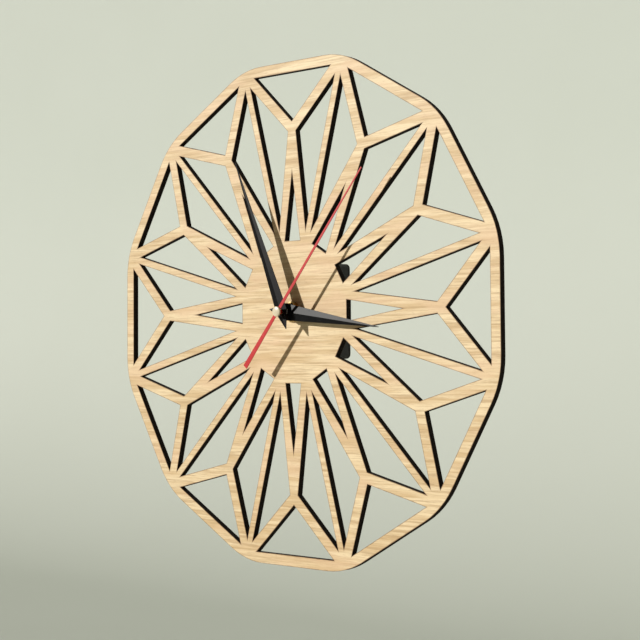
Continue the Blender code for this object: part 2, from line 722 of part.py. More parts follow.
def make_electronics():
    """The circuit board with its clock chip under a blob of resin and its quartz crystal in a can."""
    board = rectangle(board_left, board_left + BOARD_WIDTH, board_bottom, board_bottom + BOARD_HEIGHT)
    finish(plate("circuit_board", [rounded(board, BOARD_ROUNDING)], board_rear, board_front), BOARD_GREEN)

    base = board_rear - SEAT_GAP
    quarter = [math.radians(90) * k / ROUNDING_STEPS for k in range(ROUNDING_STEPS)]
    dome = [(CHIP_RADIUS * math.cos(a), base - CHIP_HEIGHT * math.sin(a)) for a in quarter]
    chip = turned("clock_chip", [(0, base)] + dome + [(0, base - CHIP_HEIGHT)])
    finish(place(chip, on_board(CHIP_PLACE_SHARES)), BLACK_PLASTIC, smooth=True)

    half = CRYSTAL_LENGTH / 2
    can = rod("quartz_crystal", CRYSTAL_DIAMETER / 2, -half, half, SMALL_SIDES, CLOCK)
    can.rotation_euler = ALONG_X
    can.location = (*on_board(CRYSTAL_PLACE_SHARES), base - CRYSTAL_DIAMETER / 2)
    finish(can, STEEL, smooth=True)


def make_coil():
    """The stepping motor's coil: a bobbin with its winding, on a core that bridges the stator's legs."""
    along = COIL_LENGTH / 2
    waist = along - COIL_FLANGE_THICKNESS
    bobbin = turned("coil_bobbin", [
        (0, along),
        (COIL_FLANGE_RADIUS, along),
        (COIL_FLANGE_RADIUS, waist),
        (COIL_BARREL_RADIUS, waist),
        (COIL_BARREL_RADIUS, -waist),
        (COIL_FLANGE_RADIUS, -waist),
        (COIL_FLANGE_RADIUS, -along),
        (0, -along),
    ])
    deep = CORE_THICKNESS / 2 + SEAT_GAP
    wide = CORE_WIDTH / 2 + SEAT_GAP
    overrun = along + CUT_OVERRUN
    hole = plate("core_hole", [rectangle(-deep, deep, -wide, wide)], -overrun, overrun, HELPERS)
    cut(bobbin, hole)
    winding_end = waist - SEAT_GAP
    winding_inside = COIL_BARREL_RADIUS + SEAT_GAP
    winding = ring("coil_winding", WINDING_RADIUS, winding_inside, -winding_end, winding_end)
    for form in (bobbin, hole, winding):
        form.rotation_euler = ALONG_X
        form.location = (rotor_place.x, COIL_UP_DIAL, coil_depth)
    finish(bobbin, WHEEL_PLASTIC, smooth=True)
    finish(winding, COPPER, smooth=True)

    left = rotor_place.x - CORE_LENGTH / 2
    low = COIL_UP_DIAL - CORE_WIDTH / 2
    bar = rectangle(left, left + CORE_LENGTH, low, low + CORE_WIDTH)
    core_rear = coil_depth - CORE_THICKNESS / 2
    finish(plate("coil_core", [bar], core_rear, core_rear + CORE_THICKNESS), SILICON_STEEL)


def make_stator():
    """A U-shaped plate: a bar with the rotor's hole, and a leg to each end of the coil's core."""
    left = rotor_place.x - CORE_LENGTH / 2
    low = rotor_place.y - STATOR_BAR_WIDTH / 2
    top = COIL_UP_DIAL + CORE_WIDTH / 2
    outside = rounded(rectangle(left, left + CORE_LENGTH, low, top), STATOR_ROUNDING)
    stator = plate("stator", [outside], stator_rear, stator_front)
    leg_inside = COIL_LENGTH / 2 + SEAT_GAP
    gap = rectangle(
        rotor_place.x - leg_inside,
        rotor_place.x + leg_inside,
        low + STATOR_BAR_WIDTH,
        top + CUT_OVERRUN,
    )
    rear = stator_rear - CUT_OVERRUN
    front = stator_front + CUT_OVERRUN
    cut(stator, plate("stator_gap", [gap], rear, front, HELPERS))
    cut(stator, place(rod("stator_hole", MAGNET_RADIUS + MAGNET_AIR_GAP, rear, front, SIDES), rotor_place))
    finish(stator, SILICON_STEEL)


def make_contacts():
    """Two bent strips, seen edge-on from the front, that run from the battery to the circuit board."""
    half = CONTACT_THICKNESS / 2
    along_wall = room_half - half - SEAT_GAP
    shelf = room_bottom + SEAT_GAP + half
    nub_side = battery_end + BATTERY_NUB_LENGTH + SEAT_GAP + half
    plus_tail = on_board(PLUS_TAIL_SHARES)
    plus = [
        Vector((nub_side, bay_up_dial - BATTERY_NUB_DIAMETER / 2)),
        Vector((nub_side, shelf)),
        Vector((plus_tail.x, shelf)),
        plus_tail,
    ]
    minus_tail = on_board(MINUS_TAIL_SHARES)
    cell_side = battery_end + SEAT_GAP + half
    heel = bay_up_dial - CONTACT_LEAF_HEEL
    bend = (along_wall - cell_side) / 3
    minus = [
        minus_tail,
        Vector((-along_wall, minus_tail.y)),
        Vector((-along_wall, heel)),
        Vector((bend - along_wall, heel - bend)),
        Vector((2 * bend - along_wall, heel)),
        Vector((-cell_side, bay_up_dial)),
        Vector((-cell_side - CONTACT_LEAF_CURL, bay_up_dial + CONTACT_LEAF_TOE)),
    ]
    for name, path in (("battery_contact_plus", plus), ("battery_contact_minus", minus)):
        outline = strip_outline(path, CONTACT_THICKNESS)
        finish(plate(name, [outline], contact_rear, contact_front), STEEL)


def make_battery():
    radius = BATTERY_DIAMETER / 2
    nub = BATTERY_NUB_DIAMETER / 2
    battery = turned("battery", [
        (0, battery_end + BATTERY_NUB_LENGTH),
        (nub, battery_end + BATTERY_NUB_LENGTH),
        (nub, battery_end),
        (radius - BATTERY_EDGE, battery_end),
        (radius, battery_end - BATTERY_EDGE),
        (radius, BATTERY_EDGE - battery_end),
        (radius - BATTERY_EDGE, -battery_end),
        (0, -battery_end),
    ], FINE_SIDES)
    battery.rotation_euler = ALONG_X
    battery.location = (0, bay_up_dial, bay_depth)
    finish(battery, CELL_GREY, smooth=True)


def make_rotor(angle):
    """The stepping motor's rotor: a magnet and a pinion on one arbor."""
    outline = toothed(TRAIN_PINION_TEETH, rotor_module, angle)
    rotor = plate("rotor", [outline], third_wheel_rear - PINION_OVERHANG, rotor_pinion_front)
    rear = rotor_boss_front - BEARING_DEPTH + END_FLOAT
    arbor = rod("rotor_arbor", ARBOR_RADIUS, rear, rotor_post_rear + BEARING_DEPTH - END_FLOAT)
    half = MAGNET_LENGTH / 2
    magnet = rod("rotor_magnet", MAGNET_RADIUS, magnet_depth - half, magnet_depth + half, SIDES)
    for form in (rotor, arbor, magnet):
        place(form, rotor_place)
    join(rotor, arbor, magnet)
    finish(rotor, MAGNET_GREY)


def make_train_wheel(name, where, wheel, pinion, arbor_front, look):
    """A wheel with its pinion on an arbor. Each toothed form is (teeth, module, angle, rear, front)."""
    teeth, module, angle, rear, front = wheel
    piece = plate(name, [toothed(teeth, module, angle)], rear, front)
    teeth, module, angle, rear, front = pinion
    leaves = plate(name + "_pinion", [toothed(teeth, module, angle)], rear, front, HELPERS)
    arbor = rod(name + "_arbor", ARBOR_RADIUS, arbor_rear, arbor_front)
    for form in (piece, leaves, arbor):
        place(form, where)
    join(piece, leaves, arbor)
    finish(piece, look)


def make_going_train():
    """The wheels from the rotor to the second hand, and on to the centre wheel."""
    second_wheel_front = second_wheel_rear + WHEEL_THICKNESS
    fifth_pinion_angle = meshed_angle(SECOND_WHEEL_TEETH, 0.0, FIFTH_DIRECTION, TRAIN_PINION_TEETH)
    make_rotor(meshed_angle(FIFTH_WHEEL_TEETH, 0.0, ROTOR_DIRECTION, TRAIN_PINION_TEETH))
    make_train_wheel(
        "second_wheel",
        centre_place,
        (SECOND_WHEEL_TEETH, fifth_module, 0.0, second_wheel_rear, second_wheel_front),
        (TRAIN_PINION_TEETH, third_module, 0.0, second_wheel_front - JOIN_DEPTH, second_pinion_front),
        cap_rear + CAP_BORE_DEPTH - SEAT_GAP,
        STEEL,
    )
    make_train_wheel(
        "fifth_wheel",
        fifth_place,
        (FIFTH_WHEEL_TEETH, rotor_module, 0.0, third_wheel_rear, third_wheel_front),
        (TRAIN_PINION_TEETH, fifth_module, fifth_pinion_angle, second_wheel_rear, third_wheel_rear + JOIN_DEPTH),
        fifth_post_rear + BEARING_DEPTH - END_FLOAT,
        WHEEL_PLASTIC,
    )
    third_angle = meshed_angle(TRAIN_PINION_TEETH, 0.0, THIRD_DIRECTION, THIRD_WHEEL_TEETH)
    make_train_wheel(
        "third_wheel",
        third_place,
        (THIRD_WHEEL_TEETH, third_module, third_angle, third_wheel_rear, third_wheel_front),
        (TRAIN_PINION_TEETH, centre_module, 0.0, third_wheel_front - JOIN_DEPTH, third_pinion_front),
        third_post_rear + BEARING_DEPTH - END_FLOAT,
        WHEEL_PLASTIC,
    )
    to_centre = THIRD_DIRECTION + math.pi
    centre_angle = meshed_angle(TRAIN_PINION_TEETH, 0.0, to_centre, CENTRE_WHEEL_TEETH)
    outlines = [toothed(CENTRE_WHEEL_TEETH, centre_module, centre_angle), circle(clutch_bore)]
    finish(plate("centre_wheel", outlines, centre_wheel_rear, centre_wheel_front), WHEEL_PLASTIC)


def make_minute_arbor():
    """The cannon pinion with the tube that carries the minute hand, round the second arbor."""
    outline = toothed(CANNON_TEETH, motion_module)
    arbor = plate("minute_arbor", [outline], cannon_pinion_rear, cannon_pinion_front)
    front = minute_hand_front + TUBE_PROUD
    barrel_front = cannon_pinion_rear + JOIN_DEPTH
    join(
        arbor,
        rod("cannon_barrel", CANNON_REAR_RADIUS, centre_wheel_rear, barrel_front, SIDES),
        rod("cannon_tube", CANNON_RADIUS, cannon_pinion_front - JOIN_DEPTH, front, SIDES),
    )
    cut(arbor, rod("cannon_bore", arbor_bore, centre_wheel_rear - CUT_OVERRUN, front + CUT_OVERRUN))
    finish(arbor, BRASS)


def make_motion_wheel(angle):
    """The wheel and pinion between the minute arbor and the hour wheel, on a stud of the case."""
    outline = toothed(MOTION_WHEEL_TEETH, motion_module, angle)
    motion = plate("motion_wheel", [outline], motion_wheel_rear, motion_wheel_front)
    leaves = toothed(MOTION_PINION_TEETH, hour_module)
    pinion = plate("motion_pinion", [leaves], motion_wheel_front - JOIN_DEPTH, hour_wheel_front, HELPERS)
    bore = rod("motion_bore", STUD_RADIUS + RUNNING_GAP, motion_wheel_rear - CUT_OVERRUN, plate_inside)
    for form in (motion, pinion, bore):
        place(form, motion_place)
    join(motion, pinion)
    cut(motion, bore)
    finish(motion, WHEEL_PLASTIC)


def make_hour_wheel(angle):
    """The wheel with the tube that carries the hour hand, between the minute arbor and the bush."""
    outline = toothed(HOUR_WHEEL_TEETH, hour_module, angle)
    hour = plate("hour_wheel", [outline], hour_wheel_rear, hour_wheel_front)
    front = hour_hand_front + TUBE_PROUD
    join(hour, rod("hour_tube", HOUR_TUBE_RADIUS, hour_wheel_front - JOIN_DEPTH, front, SIDES))
    cut(hour, rod("hour_bore", hour_bore, hour_wheel_rear - CUT_OVERRUN, front + CUT_OVERRUN, SIDES))
    finish(hour, WHEEL_PLASTIC)


def make_setting_knob(angle):
    """The ribbed knob in the rear cover, with its stem and the pinion that turns the motion wheel."""
    ribs = []
    for k in range(2 * KNOB_RIBS):
        radius = KNOB_RADIUS - KNOB_RIB_DEPTH * (k % 2)
        ribs.append(step_from(centre_place, radius, math.pi * k / KNOB_RIBS))
    flange_rear = cover_front + END_FLOAT
    flange_front = flange_rear + KNOB_FLANGE_THICKNESS
    pivot_front = knob_post_rear + BEARING_DEPTH - END_FLOAT
    pivot_rear = cannon_pinion_front - JOIN_DEPTH
    knob = plate("setting_knob", [ribs], KNOB_RECESS, flange_rear + JOIN_DEPTH)
    leaves = toothed(KNOB_TEETH, motion_module, angle)
    pinion = plate("knob_pinion", [leaves], cannon_pinion_rear, cannon_pinion_front, HELPERS)
    shaft = turned("knob_shaft", [
        (0, pivot_front),
        (ARBOR_RADIUS, pivot_front),
        (ARBOR_RADIUS, pivot_rear),
        (KNOB_STEM_RADIUS, pivot_rear),
        (KNOB_STEM_RADIUS, flange_front),
        (KNOB_FLANGE_RADIUS, flange_front),
        (KNOB_FLANGE_RADIUS, flange_rear),
        (0, flange_rear),
    ], SIDES, HELPERS)
    for form in (knob, pinion, shaft):
        place(form, knob_place)
    join(knob, shaft, pinion)
    finish(knob, WHEEL_PLASTIC)


def make_motion_work():
    """The wheels that turn the hour hand once for twelve turns of the minute arbor, and the knob."""
    motion_angle = meshed_angle(CANNON_TEETH, 0.0, MOTION_DIRECTION, MOTION_WHEEL_TEETH)
    to_centre = MOTION_DIRECTION + math.pi
    make_motion_wheel(motion_angle)
    make_hour_wheel(meshed_angle(MOTION_PINION_TEETH, 0.0, to_centre, HOUR_WHEEL_TEETH))
    make_setting_knob(meshed_angle(MOTION_WHEEL_TEETH, motion_angle, KNOB_DIRECTION, KNOB_TEETH))


def make_fixings():
    """The rubber washer behind the dial, and the brass washer and nut in front of it."""
    rubber = ring("rubber_washer", RUBBER_DIAMETER / 2, dial_bore, rubber_rear, rubber_rear + RUBBER_THICKNESS)
    finish(rubber, RUBBER, smooth=True)
    washer = ring("brass_washer", WASHER_DIAMETER / 2, dial_bore, washer_rear, washer_rear + WASHER_THICKNESS)
    finish(washer, BRASS, smooth=True)

    flat = NUT_ACROSS_FLATS / 2
    corner = flat / math.cos(math.radians(30))
    nut = plate("hex_nut", [circle(corner, 6)], nut_rear, nut_front)
    chamfer = turned("nut_chamfer", [
        (0, nut_front + NUT_CHAMFER),
        (2 * flat - corner, nut_front + NUT_CHAMFER),
        (2 * corner - flat, nut_front - 2 * NUT_CHAMFER),
        (2 * corner - flat, nut_rear - CUT_OVERRUN),
        (0, nut_rear - CUT_OVERRUN),
    ], FINE_SIDES, HELPERS)
    boolean(nut, [chamfer], "INTERSECT")
    cut(nut, rod("nut_bore", dial_bore, nut_rear - CUT_OVERRUN, nut_front + CUT_OVERRUN, SIDES))
    finish(nut, BRASS)


def folded_sheet(name, half_outline, slope, front):
    """A sheet folded along Y. The half outline lies at +X and runs from one end of the fold to the other."""
    mesh = bpy.data.meshes.new(name)
    corners = [Vector((point.x, point.y, front - slope * point.x)) for point in half_outline]
    count = len(corners)
    walls = [(k, count + k, count + k + 1, k + 1) for k in range(count - 1)]
    faces = [range(count), range(2 * count - 1, count - 1, -1)] + walls
    mesh.from_pydata(corners + [corner - Vector((0, 0, HAND_SHEET)) for corner in corners], [], faces)
    guide = bpy.data.objects.new(name + "_half", mesh)
    mirror = guide.modifiers.new("other_half", "MIRROR")
    mirror.merge_threshold = WELD_DISTANCE
    return as_mesh(guide, name, CLOCK)


def make_kite_hand(name, length, tail, width, front, angle, bore):
    """A pointed hand, widest at its pivot, with the collar that presses on its tube."""
    half_outline = [
        Vector((0, -tail)),
        Vector((width / 2, 0)),
        Vector((HAND_TIP_WIDTH / 2, length)),
        Vector((0, length)),
    ]
    hand = folded_sheet(name, half_outline, HAND_FOLD / (width / 2), front)
    collar_front = front + JOIN_DEPTH
    collar_rear = collar_front - HAND_COLLAR_LENGTH
    join(hand, rod(name + "_collar", bore + HAND_COLLAR_WALL, collar_rear, collar_front, SIDES))
    cut(hand, rod(name + "_hole", bore, collar_rear - CUT_OVERRUN, collar_front + CUT_OVERRUN, SIDES))
    finish(place(hand, centre_place, angle), BLACK_LACQUER)


def make_second_hand():
    """A flat pointer with a square-ended tail, and the socket that presses on the second arbor."""
    half_tail = SECOND_HAND_TAIL_WIDTH / 2
    half = SECOND_HAND_WIDTH / 2
    half_tip = SECOND_HAND_TIP_WIDTH / 2
    outline = [
        Vector((-half_tail, -SECOND_HAND_TAIL)),
        Vector((half_tail, -SECOND_HAND_TAIL)),
        Vector((half, 0)),
        Vector((half_tip, SECOND_HAND_LENGTH)),
        Vector((-half_tip, SECOND_HAND_LENGTH)),
        Vector((-half, 0)),
    ]
    sheet_rear = second_hand_front - HAND_SHEET
    hand = plate("second_hand", [outline], sheet_rear, second_hand_front)
    socket_rear = second_hand_front - SECOND_COLLAR_LENGTH
    socket_front = sheet_rear + JOIN_DEPTH
    join(hand, rod("second_socket", arbor_bore + HAND_COLLAR_WALL, socket_rear, socket_front, SIDES))
    cut(hand, rod("second_hole", arbor_bore, socket_rear - CUT_OVERRUN, second_hand_front + CUT_OVERRUN))
    finish(place(hand, centre_place, SECOND_HAND_ANGLE), RED_LACQUER)


def make_cap():
    """The low domed cap on the end of the second arbor."""
    radius = CAP_DIAMETER / 2
    rim_top = cap_rear + CAP_RIM_HEIGHT
    quarter = [math.radians(90) * k / ROUNDING_STEPS for k in range(1, ROUNDING_STEPS + 1)]
    dome = [(radius * math.sin(a), rim_top + CAP_DOME_HEIGHT * math.cos(a)) for a in quarter]
    cap = turned("second_cap", [(0, rim_top + CAP_DOME_HEIGHT)] + dome + [(radius, cap_rear), (0, cap_rear)])
    cut(cap, rod("cap_bore", arbor_bore, cap_rear - CUT_OVERRUN, cap_rear + CAP_BORE_DEPTH))
    finish(cap, IVORY, smooth=True)


make_dial()
make_case()
make_rear_cover()
make_bridge()
make_electronics()
make_coil()
make_stator()
make_contacts()
make_battery()
make_going_train()
make_minute_arbor()
make_motion_work()
make_fixings()
make_kite_hand(
    "hour_hand",
    HOUR_HAND_LENGTH,
    HOUR_HAND_TAIL,
    HOUR_HAND_WIDTH,
    hour_hand_front,
    HOUR_HAND_ANGLE,
    bush_bore,
)
make_kite_hand(
    "minute_hand",
    MINUTE_HAND_LENGTH,
    MINUTE_HAND_TAIL,
    MINUTE_HAND_WIDTH,
    minute_hand_front,
    MINUTE_HAND_ANGLE,
    hour_bore,
)
make_second_hand()
make_cap()
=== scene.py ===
"""The looks of a wall clock with a laser cut oak dial on a battery quartz movement.

The clock faces -Y, +Z is up and the wall would be the plane y = 0. The sections follow the clock
as it is put together: the case and what goes into it, then the dial and its fixings, then the hands.
"""

import math

import bpy
from mathutils import Matrix, Vector


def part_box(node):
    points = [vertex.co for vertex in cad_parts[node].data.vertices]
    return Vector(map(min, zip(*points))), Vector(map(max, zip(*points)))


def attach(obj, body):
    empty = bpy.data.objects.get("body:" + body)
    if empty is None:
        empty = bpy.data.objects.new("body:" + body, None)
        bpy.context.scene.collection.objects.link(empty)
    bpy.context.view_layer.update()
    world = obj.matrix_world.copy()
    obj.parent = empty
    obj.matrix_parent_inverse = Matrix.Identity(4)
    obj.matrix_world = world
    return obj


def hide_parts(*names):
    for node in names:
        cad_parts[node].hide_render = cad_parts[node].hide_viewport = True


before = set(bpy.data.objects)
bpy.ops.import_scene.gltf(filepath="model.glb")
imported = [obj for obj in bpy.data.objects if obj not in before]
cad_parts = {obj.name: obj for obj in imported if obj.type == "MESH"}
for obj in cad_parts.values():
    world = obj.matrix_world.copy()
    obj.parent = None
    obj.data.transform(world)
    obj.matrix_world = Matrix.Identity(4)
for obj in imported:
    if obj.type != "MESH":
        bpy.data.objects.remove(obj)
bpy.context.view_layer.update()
MM = 0.001

# Movement case: a black box moulded in ABS, open to the rear, with posts for the wheels' arbors.
# Its hollow bush stands through the dial, and the nut that clamps the dial runs on the bush's thread.

CAD_CORNER_GAP = 0.001 * MM  # nearer corners of a CAD mesh are one corner
CAD_FLAT_WITHIN = 0.3  # degrees that the faces of one flat may turn by
CASE_EDGE = 0.25 * MM
BUSH_FRONT = -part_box("movement_case")[0].y
BUSH_THREAD_ROOT = 3.5 * MM
BUSH_THREAD_CREST = 3.88 * MM
BUSH_THREAD_PITCH = 0.75 * MM
BUSH_THREAD_FLANK = 0.42 * BUSH_THREAD_PITCH  # half the width of its foot
BUSH_THREAD_SUNK = 0.1 * MM  # how deep its foot lies in the bush
BUSH_THREAD_START = 15.2 * MM  # out from the wall
BUSH_THREAD_STEPS = 40  # in a turn
MOULDED_BLACK = (0.014, 0.014, 0.015)
MOULDED_BLACK_WORN = (0.034, 0.034, 0.036)


class Value:
    """A socket that changes over a surface. Arithmetic on it adds the material's Math nodes."""

    def __init__(self, finish, socket):
        self.finish = finish
        self.socket = socket

    def maths(self, operation, *others):
        return self.finish.node("Math", {"operation": operation}, dict(enumerate((self, *others))))

    def __add__(self, other):
        return self.maths("ADD", other)

    def __sub__(self, other):
        return self.maths("SUBTRACT", other)

    def __rsub__(self, other):
        return -1 * self + other

    def __mul__(self, other):
        return self.maths("MULTIPLY", other)

    def __truediv__(self, other):
        return self.maths("DIVIDE", other)

    def __abs__(self):
        return self.maths("ABSOLUTE")

    __radd__ = __add__
    __rmul__ = __mul__

    def least(self, other):
        return self.maths("MINIMUM", other)

    def most(self, other):
        return self.maths("MAXIMUM", other)

    def rise(self, start, end):
        """0 up to the start, 1 from the end and a smooth rise between them."""
        limits = {"Value": self, "From Min": start, "From Max": end}
        return self.finish.node("MapRange", {"interpolation_type": "SMOOTHSTEP"}, limits)


class Finish:
    """A material of shader nodes, read in the clock's own millimetres."""

    def __init__(self, name):
        self.material = bpy.data.materials.new(name)
        self.material.use_nodes = True
        self.tree = self.material.node_tree
        self.shader = self.tree.nodes["Principled BSDF"]
        place = self.node("TexCoord", out="Object")
        self.place = self.node("VectorMath", {"operation": "SCALE"}, {0: place, "Scale": 1 / MM})
        self.x, self.y, self.z = (self.node("SeparateXYZ", {}, {0: self.place}, k) for k in range(3))

    def node(self, kind, settings=None, sockets=None, out=0):
        """Adds a node of any kind: its settings are set first, then its sockets are fed."""
        made = self.tree.nodes.new("ShaderNode" + kind)
        for setting, value in (settings or {}).items():
            setattr(made, setting, value)
        for socket, value in (sockets or {}).items():
            self.feed(made.inputs[socket], value)
        return Value(self, made.outputs[out])

    def feed(self, socket, value):
        if isinstance(value, Value):
            self.tree.links.new(value.socket, socket)
        elif socket.type == "RGBA":
            socket.default_value = (*value, 1)
        else:
            socket.default_value = value

    def grain(self, size, detail=4, rough=0.5, twist=0.0):
        """Noise from 0 to 1 whose typical form has this size in millimetres along X, Y and Z."""
        shares = tuple(1 / along for along in size)
        where = self.node("Mapping", {}, {"Vector": self.place, "Scale": shares})
        sockets = {"Vector": where, "Scale": 1, "Detail": detail, "Roughness": rough, "Distortion": twist}
        return self.node("TexNoise", {}, sockets)

    def mix(self, share, colour, other):
        """From one colour to the other as the share goes from 0 to 1."""
        return self.node("Mix", {"data_type": "RGBA"}, {0: share, 6: colour, 7: other}, 2)

    def bump(self, height, depth):
        """The normal for a height from 0 to 1 that stands for a depth in metres."""
        return self.node("Bump", {}, {"Height": height, "Distance": depth})

    def shade(self, sockets):
        for socket, value in sockets.items():
            self.feed(self.shader.inputs[socket], value)
        return self.material


def moulded_black():
    """Black ABS from an eroded mould: a fine matt texture, with a faint bloom from handling."""
    finish = Finish("moulded_black")
    texture = finish.grain((0.12, 0.12, 0.12), detail=2)
    bloom = finish.grain((9, 9, 9), detail=3).rise(0.4, 0.75)
    return finish.shade({
        "Base Color": finish.mix(bloom * 0.5 + texture * 0.25, MOULDED_BLACK, MOULDED_BLACK_WORN),
        "Roughness": 0.42 + texture * 0.16 + bloom * 0.08,
        "Specular IOR Level": 0.3,
        "Normal": finish.bump(texture, depth=0.02 * MM),
    })


def pick(piece):
    """Makes a piece the only selected object and the active one."""
    bpy.ops.object.select_all(action="DESELECT")
    piece.select_set(True)
    bpy.context.view_layer.objects.active = piece


def edit(piece, choose=None, kind="FACE"):
    """Opens a piece for editing, with the faces or edges selected that the test picks, or all of them."""
    pick(piece)
    bpy.ops.object.mode_set(mode="EDIT")
    bpy.ops.mesh.select_mode(type=kind)
    bpy.ops.mesh.select_all(action="SELECT" if choose is None else "DESELECT")
    if choose:
        bpy.ops.object.mode_set(mode="OBJECT")
        for part in piece.data.polygons if kind == "FACE" else piece.data.edges:
            part.select = choose(part)
        bpy.ops.object.mode_set(mode="EDIT")


def close_edit():
    bpy.ops.object.mode_set(mode="OBJECT")


def named(name, scale=(1, 1, 1)):
    """Names the new primitive and its mesh, and puts its place, turn and scale into the mesh."""
    piece = bpy.context.active_object
    piece.name = name
    piece.data.name = name
    piece.scale = scale
    bpy.ops.object.transform_apply(location=True, rotation=True, scale=True)
    return piece


def copy_of(node, name):
    """A piece with the shape of a CAD node, its corners merged and each flat cut anew into few triangles."""
    piece = bpy.data.objects.new(name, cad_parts[node].data.copy())
    bpy.context.scene.collection.objects.link(piece)
    edit(piece)
    bpy.ops.mesh.remove_doubles(threshold=CAD_CORNER_GAP)
    bpy.ops.mesh.customdata_custom_splitnormals_clear()
    bpy.ops.mesh.dissolve_limited(angle_limit=math.radians(CAD_FLAT_WITHIN))
    bpy.ops.mesh.quads_convert_to_tris()
    close_edit()
    return piece


def form(piece, kind, **settings):
    """Gives a piece one modifier with these settings, and applies it."""
    pick(piece)
    modifier = piece.modifiers.new(kind, kind)
    for setting, value in settings.items():
        setattr(modifier, setting, value)
    bpy.ops.object.modifier_apply(modifier=modifier.name)


def soften(piece, width, segments=2, above=30, sharp_above=30):
    """Rounds the edges that turn by more than the first angle in degrees. Then it shades the piece
    smooth up to the second angle, and leaves its broad flats flat."""
    limit = math.radians(above)
    form(piece, "BEVEL", width=width, segments=segments, angle_limit=limit, use_clamp_overlap=False)
    bpy.ops.object.shade_smooth_by_angle(angle=math.radians(sharp_above))
    form(piece, "WEIGHTED_NORMAL", weight=100, keep_sharp=True)
    return piece


def dress(piece, material):
    piece.data.materials.clear()
    piece.data.materials.append(material)
    return piece


def stand_for(piece, node, body):
    """Lets a piece stand for a CAD node: it joins that node's body, and the node is hidden."""
    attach(piece, body)
    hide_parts(node)


BLACK_ABS = moulded_black()

case = copy_of("movement_case", "case_moulding")
for vertex in case.data.vertices:
    from_axis = Vector((vertex.co.x, 0, vertex.co.z))
    if -vertex.co.y > BUSH_THREAD_START and from_axis.length > BUSH_THREAD_ROOT:
        vertex.co -= from_axis.normalized() * (from_axis.length - BUSH_THREAD_ROOT)
soften(case, CASE_EDGE)
dress(case, BLACK_ABS)
stand_for(case, "movement_case", "movement")

bpy.ops.mesh.primitive_circle_add(
    vertices=3,
    radius=BUSH_THREAD_FLANK,
    fill_type="NGON",
    location=(BUSH_THREAD_ROOT, -BUSH_THREAD_START, 0),
)
thread = named("bush_thread")
corners = (
    (BUSH_THREAD_ROOT - BUSH_THREAD_SUNK, -BUSH_THREAD_FLANK),
    (BUSH_THREAD_CREST, 0),
    (BUSH_THREAD_ROOT - BUSH_THREAD_SUNK, BUSH_THREAD_FLANK),
)
for vertex, (radius, along) in zip(thread.data.vertices, corners):
    vertex.co = (radius, along - BUSH_THREAD_START, 0)
form(
    thread,
    "SCREW",
    axis="Y",
    steps=BUSH_THREAD_STEPS,
    render_steps=BUSH_THREAD_STEPS,
    iterations=int((BUSH_FRONT - BUSH_THREAD_START - BUSH_THREAD_FLANK) / BUSH_THREAD_PITCH),
    screw_offset=-BUSH_THREAD_PITCH,
)
edit(thread)
bpy.ops.mesh.fill_holes(sides=3)
bpy.ops.mesh.select_all(action="SELECT")
bpy.ops.mesh.normals_make_consistent(inside=False)
close_edit()
bpy.ops.object.shade_smooth_by_angle(angle=math.radians(40))
dress(thread, BLACK_ABS)
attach(thread, "movement")

# Wheels of the going train: moulded in natural acetal with their pinions and arbors in one shot.
# The second wheel alone is of steel, with the thin arbor that carries the second hand.

ACETAL = (0.80, 0.79, 0.73)
ACETAL_SHADE = (0.70, 0.68, 0.60)
STEEL_BRIGHT = (0.62, 0.62, 0.63)
STEEL_DULL = (0.40, 0.40, 0.41)


def natural_acetal():
    """Milky acetal: faint flow marks round the gate, and a slight unevenness where it sank in cooling."""
    finish = Finish("natural_acetal")
    flow = finish.grain((2.5, 6, 2.5), detail=3, twist=1.5)
    speck = finish.grain((0.2, 0.2, 0.2), detail=2)
    return finish.shade({
        "Base Color": finish.mix(flow.rise(0.3, 0.8), ACETAL, ACETAL_SHADE),
        "Roughness": 0.32 + flow * 0.15 + speck * 0.06,
        "Normal": finish.bump(speck * 0.4 + flow * 0.6, depth=0.02 * MM),
    })


def turned_steel():
    """Steel off the lathe: fine rings round the part and a few dull patches of oil film."""
    finish = Finish("turned_steel")
    rings = finish.grain((0.4, 0.06, 0.4), detail=2)
    film = finish.grain((3, 3, 3), detail=3).rise(0.45, 0.7)
    return finish.shade({
        "Base Color": finish.mix(film * 0.6 + rings * 0.3, STEEL_BRIGHT, STEEL_DULL),
        "Metallic": 1.0,
        "Roughness": 0.2 + rings * 0.15 + film * 0.12,
        "Normal": finish.bump(rings, depth=0.006 * MM),
    })


NATURAL_ACETAL = natural_acetal()
TURNED_STEEL = turned_steel()

for wheel in ("fifth_wheel", "third_wheel", "centre_wheel", "motion_wheel", "hour_wheel"):
    dress(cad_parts[wheel], NATURAL_ACETAL)
dress(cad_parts["second_wheel"], TURNED_STEEL)

# Rotor of the stepping motor: a sintered ferrite magnet on the rear of a moulded pinion.
# The pinion turns by half a turn at each pulse of the coil.

MAGNET_FRONT = 5.2  # millimetres out from the wall
SEAM_BLUR = 0.1  # millimetres in which one finish gives way to the next
FERRITE = (0.055, 0.055, 0.06)
FERRITE_GRAIN = (0.16, 0.16, 0.17)


def rotor_finish():
    """Grey sintered ferrite at the rear, natural acetal from the pinion on."""
    finish = Finish("rotor_magnet_and_pinion")
    sinter = finish.grain((0.15, 0.15, 0.15), detail=5, rough=0.7)
    pinion = (-1 * finish.y).rise(MAGNET_FRONT, MAGNET_FRONT + SEAM_BLUR)
    magnet = finish.mix(sinter.rise(0.45, 0.7), FERRITE, FERRITE_GRAIN)
    return finish.shade({
        "Base Color": finish.mix(pinion, magnet, ACETAL_SHADE),
        "Roughness": 0.65 - pinion * 0.25 + sinter * 0.1,
        "Normal": finish.bump(sinter * (1 - pinion), depth=0.015 * MM),
    })


dress(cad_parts["rotor"], rotor_finish())

# Minute arbor: a brass cannon pinion with a long tube, turned from bar.
# Its rear end is a tight fit in the centre wheel, so that it slips when the hands are set.

